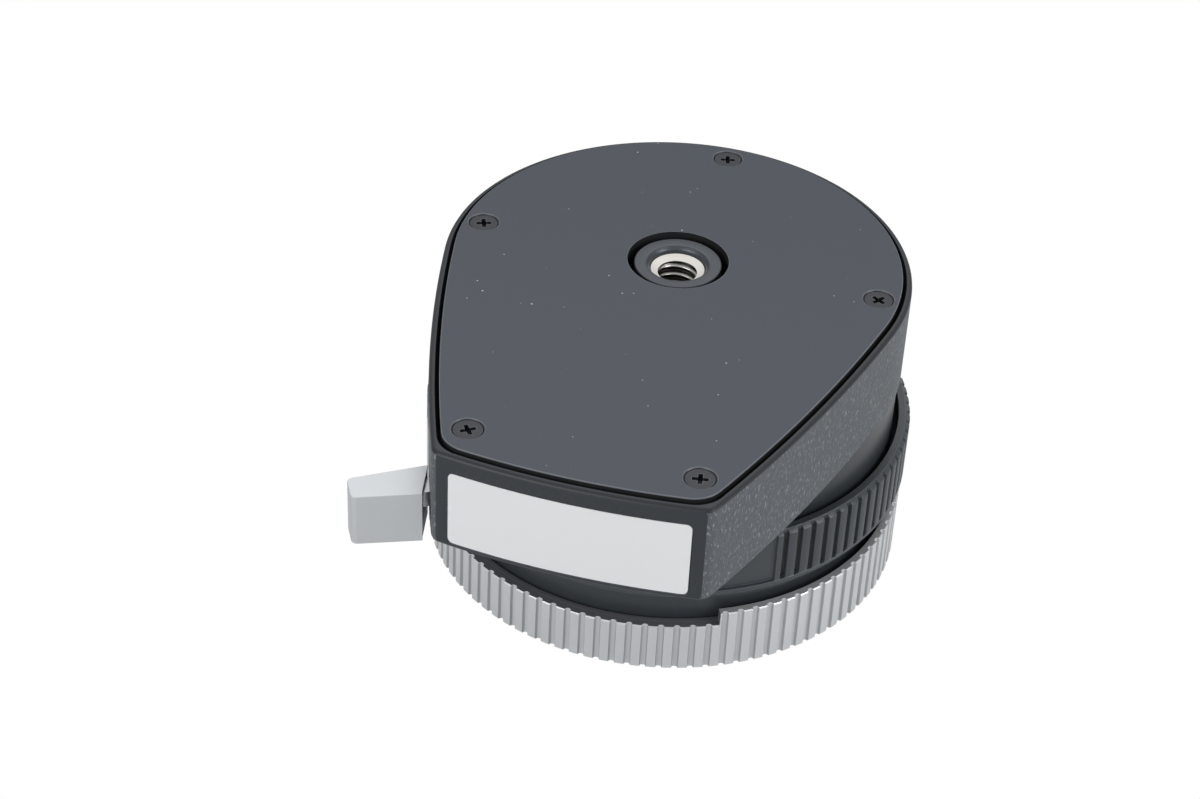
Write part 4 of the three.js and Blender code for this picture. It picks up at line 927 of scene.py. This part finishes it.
print("one groove every", round(math.degrees(PITCH), 2), "degrees")

# %% [markdown]
# The grip ring has slots round its back and sides, with painted shade on their floors, and a smooth
# front. Its outline could be spun and cut, but the grid lets the slots stop at the flange. The finger
# tab in its left side is a flat sheet bent to the ring, like the name plate.

# %% Grip ring and finger tab
GRIP_RADIUS = radius_of("selector_ring")
GRIP_LOW, GRIP_TOP = span("selector_ring")
GRIP_SLOT = {"first": math.radians(270 + 42.5), "count": 76, "width": 0.83, "depth": 0.54}
GRIP_FRONT = GRIP_RADIUS - 0.43
GRIP_BORE = NECK_RADIUS + 0.11
GRIP_MOUTH = NECK_RADIUS + 0.72
GRIP_BLEND = 0.006
FRONT_MARGIN = PITCH * 0.55
SLOT_BANDS = range(7, 10)
SLOT_FLOOR = GRIP_RADIUS - (GRIP_SLOT["depth"] + GRIP_RADIUS - GRIP_FRONT) / 2
FRONT_FROM = GRIP_SLOT["first"] + PITCH * (GRIP_SLOT["count"] - 1) + FRONT_MARGIN
FRONT_TO = GRIP_SLOT["first"] - FRONT_MARGIN


def grip_profile():
    """Radius, height and whether the slots cut there, up the outside and down the bore."""
    foot = [(0.66, 0), (0.58, 0.08), (0.58, 0.44), (0.08, 0.83), (0, 0.91), (0, 1.24), (0.04, 1.28)]
    edge = [(0, 0.58), (0.08, 0.42), (0.58, 0.08), (0.66, 0)]
    mouth = [(0.08, 0), (0, 0.08), (0, 2.45)]
    return ([(GRIP_BORE, GRIP_LOW, 0)] + [(GRIP_RADIUS - inset, GRIP_LOW + up, 0) for inset, up in foot]
            + [(GRIP_RADIUS, GRIP_LOW + up, 1) for up in (1.34, 1.46)]
            + [(GRIP_RADIUS - inset, GRIP_TOP - down, 1) for inset, down in edge]
            + [(GRIP_MOUTH + out, GRIP_TOP - down, 0) for out, down in mouth]
            + [(GRIP_BORE, GRIP_TOP - 3.1, 0)])


def grip_reach(point, angle, depth):
    radius, z, slotted = point
    if slotted:
        radius = min(radius, GRIP_RADIUS - GRIP_SLOT["depth"] * depth)
        if FRONT_FROM + GRIP_BLEND / 2 < angle < FRONT_TO + TURN - GRIP_BLEND / 2:
            radius = min(radius, GRIP_FRONT)
    return radius, z


def grip_look(number, radius, angle, z):
    # Slot floors take the second look, painted shade.
    return int(number in SLOT_BANDS and radius < SLOT_FLOOR)


grip_edges = [FRONT_FROM, FRONT_FROM + GRIP_BLEND, FRONT_TO, FRONT_TO - GRIP_BLEND]
grip_angles = groove_angles(GRIP_SLOT["first"], GRIP_SLOT["count"], GRIP_RADIUS, GRIP_SLOT["width"],
                            GRIP_SHARES, grip_edges)
grip = grooved_ring("grip_ring", grip_profile(), grip_angles, grip_reach, grip_look)
settle(grip, "click_selector", "grip_black", "selector_ring")
TAB = {"angle": math.radians(199.4), "half": 3.62, "corner": 1.74, "thick": 1.09, "edge": 0.25,
       "columns": 16}
TAB_BACK = GRIP_RADIUS - 1.05


def on_tab(across, out, up):
    return place(*polar(TAB_BACK + out, TAB["angle"] + across / GRIP_RADIUS), up)


tab_outline = rounded_rect(TAB["half"], *span("selector_tab"), TAB["corner"])
tab = sheet_on("grip_tab", tab_outline, TAB["columns"], on_tab, TAB["thick"], TAB["edge"])
settle(tab, "click_selector", "silver", "selector_tab", looks=[SILVER])
print("grip ring faces:", len(grip.data.polygons))

# %% [markdown]
# The silver turning ring is fluted all the way. Across the nose it is cut down to a low step, the
# window where a scale would be read, with a black ring in it. The window could be a cut too, but
# lowering the top rows of the grid there keeps the flutes clean.

# %% Turning ring
RING_RADIUS = radius_of("pan_ring")
RING_LOW, RING_TOP = span("pan_ring")
SCALE_LOW, WINDOW_FLOOR = span("scale_ring")
SCALE_RADIUS = radius_of("scale_ring")
SCALE_WALL = 0.72
WINDOW = {"from": math.radians(270 - 62), "to": math.radians(270 + 28.2), "wall": 0.0006}
FLUTE = {"width": 0.84, "depth": 0.52, "wall": (0.04, 0.7), "band": 4}
PLATE_BORE = radius_of("platform_plate") + SEAT
PLATE_STEP = SCALE_LOW - 1.1
RING_EDGE = 0.14
RING_TOP_BANDS = (6, 7)


def in_window(angle):
    return WINDOW["from"] < angle % TURN < WINDOW["to"]


def ring_profile():
    """Radius, height, whether the flutes cut there and whether the window lowers it."""
    out, bore = RING_RADIUS, SCALE_RADIUS + SEAT
    return [(bore, SCALE_LOW - SEAT, 0, 0), (PLATE_BORE, PLATE_STEP, 0, 0), (PLATE_BORE, RING_LOW, 0, 0),
            (out - RING_EDGE, RING_LOW, 1, 0), (out, RING_LOW + RING_EDGE, 1, 0), (out, -RING_EDGE, 1, 1),
            (out - RING_EDGE, 0.0, 1, 1), (bore, 0.0, 0, 1)]


def ring_reach(point, angle, depth):
    radius, z, fluted, topped = point
    if fluted:
        radius = min(radius, RING_RADIUS - FLUTE["depth"] * depth)
    if topped:
        z += WINDOW_FLOOR if in_window(angle) else RING_TOP
    return radius, z


def ring_look(number, radius, angle, z):
    """1 on what the window lowers, painted light and shade; 2 on the walls of the flutes, painted shade; 0
    elsewhere.
    """
    if number in RING_TOP_BANDS and in_window(angle) and z < (WINDOW_FLOOR + RING_TOP) / 2:
        return 1
    sunk = (RING_RADIUS - radius) / FLUTE["depth"]
    return 2 if number == FLUTE["band"] and FLUTE["wall"][0] < sunk < FLUTE["wall"][1] else 0


ring_edges = [WINDOW[end] + sign * WINDOW["wall"] for end in ("to", "from") for sign in (-1, 1)]
ring_angles = groove_angles(-PITCH / 2, GROOVES, RING_RADIUS, FLUTE["width"], FLUTE_SHARES, ring_edges)
ring = grooved_ring("turning_ring", ring_profile(), ring_angles, ring_reach, ring_look)
settle(ring, "pan_stage", "silver", "pan_ring")
# The black scale ring takes the mid grey of the window, painted light.
scale = tube("window_ring", SCALE_RADIUS - SCALE_WALL, SCALE_RADIUS, SCALE_LOW, WINDOW_FLOOR,
             [0, 0, SEAT, SEAT], "ring")
settle(scale, "pan_stage", "scale_black", "scale_ring")
print("turning ring faces:", len(ring.data.polygons))

# %% [markdown]
# The lever's handle is a short tapered bar with soft edges. Its hollow inner end could be drawn,
# but the housing's own outline cuts it here, at both ends of the swing, so that the handle is sure
# to clear the wall.

# %% Lever
HANDLE = {"start": 8.8, "end": 19.79, "half_start": 2.88, "half_end": 1.85, "round": 0.7, "edge": 0.3,
          "clearance": 0.12, "sharp": 40}
HANDLE_LOW, HANDLE_TOP = span("lever_handle")


def build_handle():
    plan = bar_plan(LEVER_PIVOT, LEVER_ANGLE, HANDLE["start"], HANDLE["end"], HANDLE["half_start"],
                    HANDLE["half_end"])
    bm = drawn_up(plan, HANDLE_LOW, HANDLE_TOP)
    pivot_foot = place(*LEVER_PIVOT, 0)
    far = (HANDLE["start"] + HANDLE["end"]) / 2 * MM
    upright = [e for e in bm.edges if (e.verts[0].co - e.verts[1].co).xy.length < SEAT * MM
               and (e.verts[0].co - pivot_foot).xy.length > far]
    round_edges(bm, upright, HANDLE["round"] * MM, 5)
    bar = finish_mesh("lever_bar", bm)
    wall = teardrop(SHELL_GROW + HANDLE["clearance"], SHELL_CORNER + HANDLE["clearance"])
    for share in (0.0, 1.0):
        bm = drawn_up(wall, HANDLE_LOW - SHELL_WALL, HANDLE_TOP + SHELL_WALL)
        bmesh.ops.rotate(bm, verts=bm.verts, cent=pivot_foot,
                         matrix=Matrix.Rotation(-LEVER_SWING * share, 3, "Z"))
        cut(bar, finish_mesh("wall cutter", bm, weighted=False))
    bm = bmesh.new()
    bm.from_mesh(bar.data)
    sharp = math.radians(HANDLE["sharp"])
    edges = [e for e in bm.edges if len(e.link_faces) == 2 and e.calc_face_angle() > sharp]
    round_edges(bm, edges, HANDLE["edge"] * MM, clamp=True)
    bm.to_mesh(bar.data)
    bm.free()
    smooth(bar)
    return bar


settle(build_handle(), "lever", "silver", "lever_handle", looks=[LEVER])
print("lever bar from", round(HANDLE_LOW, 1), "to", round(HANDLE_TOP, 1), "mm")

# %% [markdown]
# Underneath sits a round spirit level: a low glass dome over yellow-green liquid in an alloy ring.
# A glossy green disc could stand for it, but a body of glass with one of liquid inside catches
# the light as the real one does.

# %% Spirit level
BEZEL_LOW, BEZEL_TOP = span("level_bezel")
VIAL_LOW, VIAL_TOP = span("level_vial")
VIAL_RADIUS = radius_of("level_vial")
VIAL_DOME = 0.42
DOME_ANGLES = (0.0, 0.35, 0.7, 1.0, 1.25, 1.45)
BEZEL_EDGE = 0.12
VIAL_SHARP = 60


def build_vial(name, radius, low, top, steps):
    dome = [(radius * math.cos(a), low + VIAL_DOME * (1 - math.sin(a))) for a in DOME_ANGLES]
    return lathe(name, [(radius, top)] + dome, steps, LEVEL_PLACE, ring=False, sharp=VIAL_SHARP)


bezel_profile = [(VIAL_RADIUS + SEAT, BEZEL_LOW + BEZEL_EDGE), (VIAL_RADIUS + 2 * BEZEL_EDGE, BEZEL_LOW),
                 (LEVEL_RADIUS, BEZEL_LOW), (LEVEL_RADIUS, BEZEL_TOP), (VIAL_RADIUS + SEAT, BEZEL_TOP)]
bezel = lathe("level_ring", rounded(bezel_profile, [0, 0, BEZEL_EDGE, 0, 0]), "hole", LEVEL_PLACE)
settle(bezel, "base", "level_metal", "level_bezel")
vial = build_vial("level_glass", VIAL_RADIUS, VIAL_LOW, VIAL_TOP, "level")
settle(vial, "base", "level_glass", "level_vial")
liquid = build_vial("level_liquid", VIAL_RADIUS - 2 * BEZEL_EDGE, VIAL_LOW + 2 * BEZEL_EDGE,
                    VIAL_TOP - BEZEL_EDGE, "screw")
settle(liquid, "base", "level_glass", looks=[LIQUID])
print("level", round(2 * LEVEL_RADIUS, 1), "mm across")

# %% [markdown]
# The camera side is a rubber pad on a black disc with the captive screw in its middle. The screw
# could be a rod with a bump. It takes the rows of the bush's thread instead, turned outwards, and
# is one closed solid with its slotted head.

# %% Pad, platform and camera screw
PAD_HOLE = 3.9
PAD_EDGE = 0.22
DISC_HOLE = 3.32
SCREW_TIP = 0.45
HEAD_LOW, HEAD_TOP = 7.64, span("camera_screw")[1]
HEAD_RADIUS = radius_of("camera_screw")
HEAD_SLOT = 0.5
pad = tube("camera_pad", PAD_HOLE, radius_of("platform_pad"), 0, span("platform_pad")[1],
           [PAD_EDGE, PAD_EDGE, 0, 0], "disc")
settle(pad, "pan_stage", "pad_rubber", "platform_pad")
disc = tube("camera_platform", DISC_HOLE, radius_of("platform_plate"), *span("platform_plate"),
            [0, SEAT, 0, 0], "disc")
settle(disc, "pan_stage", "platform_black", "platform_plate")


def build_camera_screw():
    rod, root = THREAD["rod"], THREAD["rod"] - THREAD["depth"]
    tip = round_rows([(root - SCREW_TIP, 0.0), (root, SCREW_TIP)])
    head = round_rows([(rod, HEAD_LOW), (HEAD_RADIUS, HEAD_LOW), (HEAD_RADIUS, HEAD_TOP)])
    rows = tip + thread_rows(rod, 2 * SCREW_TIP, HEAD_LOW - SCREW_TIP, -1) + head
    made = grid("camera_screw_turned", rows, THREAD_SHARP, False)
    slot_end = HEAD_RADIUS + SCREW_TIP
    slot = bar_plan((0, 0), 0, -slot_end, slot_end, HEAD_SLOT)
    cut(made, prism("slot cutter", slot, (HEAD_LOW + HEAD_TOP) / 2, HEAD_TOP + SCREW_TIP))
    return made


settle(build_camera_screw(), "screw", "steel_works", "camera_screw")
print("camera screw", round(2 * THREAD["rod"], 1), "mm thick")

# %% [markdown]
# Each spring is a wound wire. A curve with a round bevel could make it, but it couldn't flatten.
# This mesh stays on the body that its foot rests on, and each spring gets a mesh of its own.

# %% Springs
COIL_STEPS = 40
COIL_SIDES = 12
COIL_SHARP = 60
SPRING_LOW, SPRING_TOP = span("screw_spring")
CLICK_BACK, CLICK_FRONT = (y - PAN_Y for y in span("detent_spring", 1))
CLICK_HEIGHT = sum(span("detent_spring")) / 2
CLICK_WIRE = 0.18
CLICK_RADIUS = radius_of("detent_spring") - CLICK_WIRE
SCREW_COIL = {"foot": 6.0, "top": 3.7, "wire": 0.3, "turns": 4, "length": SPRING_TOP - SPRING_LOW}
CLICK_COIL = {"foot": CLICK_RADIUS, "top": CLICK_RADIUS, "wire": CLICK_WIRE, "turns": 3,
              "length": CLICK_FRONT - CLICK_BACK}


def above_platform(x, y, z):
    return place(x, y, SPRING_LOW + z)


def behind_tip(x, y, z):
    return place(x, CLICK_BACK + z, CLICK_HEIGHT + y)


def coil(name, size, put):
    """A round wire that winds upwards from its foot to its top; put sets its points in place."""
    rows = []
    wire, steps = size["wire"], size["turns"] * COIL_STEPS
    height = size["length"] - 2 * wire
    for k in range(steps + 1):
        angle = TURN * size["turns"] * k / steps
        radius = size["foot"] + (size["top"] - size["foot"]) * k / steps
        row = []
        for i in range(COIL_SIDES):
            out, up = polar(wire, TURN * i / COIL_SIDES)
            row.append(put(*polar(radius + out, angle), wire + height * k / steps + up))
        rows.append(row)
    return grid(name, rows, COIL_SHARP, False)


screw_coil = coil("captive_spring", SCREW_COIL, above_platform)
settle(screw_coil, "pan_stage", "steel_works", "screw_spring")
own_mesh(screw_coil)
click_coil = coil("click_spring", CLICK_COIL, behind_tip)
settle(click_coil, "plunger", "steel_works", "detent_spring")
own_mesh(click_coil)
print("springs", [round(size["length"], 2) for size in (SCREW_COIL, CLICK_COIL)], "mm long")

# %% [markdown]
# The inner works stay plain CAD. They could keep the grey of the CAD part, but a section through
# the head shows them, so each takes the first look of its slot.

# %% Finishes for the CAD nodes
for part in frame["record"]["subparts"]:
    paint(nodes[part["node"]], SLOT_LOOKS[part["material_slot"]][:1])

# %% [markdown]
# The photo was taken from above the nose, a little to its right. The camera could be set by eye.
# Here its place, its direction and its small roll were fitted to the edges of the real object, so
# that the render and the photo can be laid over each other.

# %% Camera
EYE = (61.31, -270.77, 226.45)
SIGHT = (-0.2024, 0.7751, -0.5986)
ROLL = 0.05
FOCAL_PIXELS = 2600.74
PHOTO_WIDTH = 1200
SENSOR = 36.0
CLIP_END = 5.0


def aim_camera():
    data = bpy.data.cameras.new("photo camera")
    data.sensor_width = SENSOR
    data.lens = SENSOR * FOCAL_PIXELS / PHOTO_WIDTH
    data.clip_end = CLIP_END
    camera = link_object("photo camera", data)
    bpy.context.scene.camera = camera
    forward = Vector(SIGHT).normalized()
    right = forward.cross(Vector((0, 0, 1))).normalized()
    up = right.cross(forward)
    turn = Matrix((right, up, -forward)).transposed() @ Matrix.Rotation(ROLL, 3, "Z")
    camera.matrix_world = Matrix.Translation(place(*EYE)) @ turn.to_4x4()
    return camera


camera = aim_camera()
print("camera at", [round(c, 3) for c in camera.location])

# %% [markdown]
# The photo shows the part on pure white without a shadow. A bright room could do that, but it would
# wash the part out. So the room and the floor are white to the camera alone, and the part sees a
# dimmer room with soft boxes above, to the right and in front.

# %% Studio
ROOM = {"horizon": 0.43, "overhead": 0.6, "full_height": 0.75, "tint": (0.985, 0.99, 1.0, 1)}
FLOOR_HALF, FLOOR_DROP, FLOOR_GREY = 3.0, 0.0003, 0.74
AIM = Vector((0, 0, 0.022))
LIGHTS = {"top light": ((-0.07, 0.33, 0.5), (0.58, 0.44), 0.84),
          "right light": ((0.54, -0.11, 0.22), (0.29, 0.36), 1.25),
          "front light": ((-0.25, -0.5, 0.25), (0.44, 0.29), 1.4)}


def area_light(name, location, size, power):
    data = bpy.data.lights.new(name, "AREA")
    data.shape = "RECTANGLE"
    data.size, data.size_y = size
    data.energy = power
    light = link_object(name, data)
    light.location = location
    light.rotation_euler = (AIM - Vector(location)).to_track_quat("-Z", "Y").to_euler()
    return light


def floor_look():
    """White to the camera, a pale matt floor to everything else."""
    made, tree, shader = material("floor white", [FLOOR_GREY] * 3, 0.9)
    path = node(tree, "ShaderNodeLightPath")
    white = node(tree, "ShaderNodeEmission", Color=(1, 1, 1, 1), Strength=1.0)
    mixed = node(tree, "ShaderNodeMixShader", {0: path.outputs["Is Camera Ray"], 1: shader.outputs[0],
                                               2: white.outputs[0]})
    tree.links.new(mixed.outputs[0], tree.nodes["Material Output"].inputs["Surface"])
    return made


def white_room():
    """A world that is white to the camera and grows lighter from the horizon up to all else."""
    world = bpy.data.worlds.new("white room")
    world.use_nodes = True
    tree = world.node_tree
    view = node(tree, "ShaderNodeTexCoord")
    axes = node(tree, "ShaderNodeSeparateXYZ", {0: view.outputs["Generated"]})
    rise = ramp(tree, axes.outputs["Z"], 0.0, ROOM["full_height"], ROOM["horizon"], ROOM["overhead"])
    path = node(tree, "ShaderNodeLightPath")
    strength = node(tree, "ShaderNodeMix", {"Factor": path.outputs["Is Camera Ray"], "A": rise}, B=1.0)
    background = tree.nodes["Background"]
    background.inputs["Color"].default_value = ROOM["tint"]
    tree.links.new(strength.outputs[0], background.inputs["Strength"])
    bpy.context.scene.world = world


bm = bmesh.new()
bmesh.ops.create_grid(bm, x_segments=1, y_segments=1, size=FLOOR_HALF,
                      matrix=Matrix.Translation((0, 0, -FLOOR_DROP)))
floor = finish_mesh("floor", bm, weighted=False)
paint(floor, [floor_look()])
white_room()
for name, (location, size, power) in LIGHTS.items():
    area_light(name, location, size, power)
bpy.context.scene.view_settings.view_transform = "Standard"
print("studio ready")
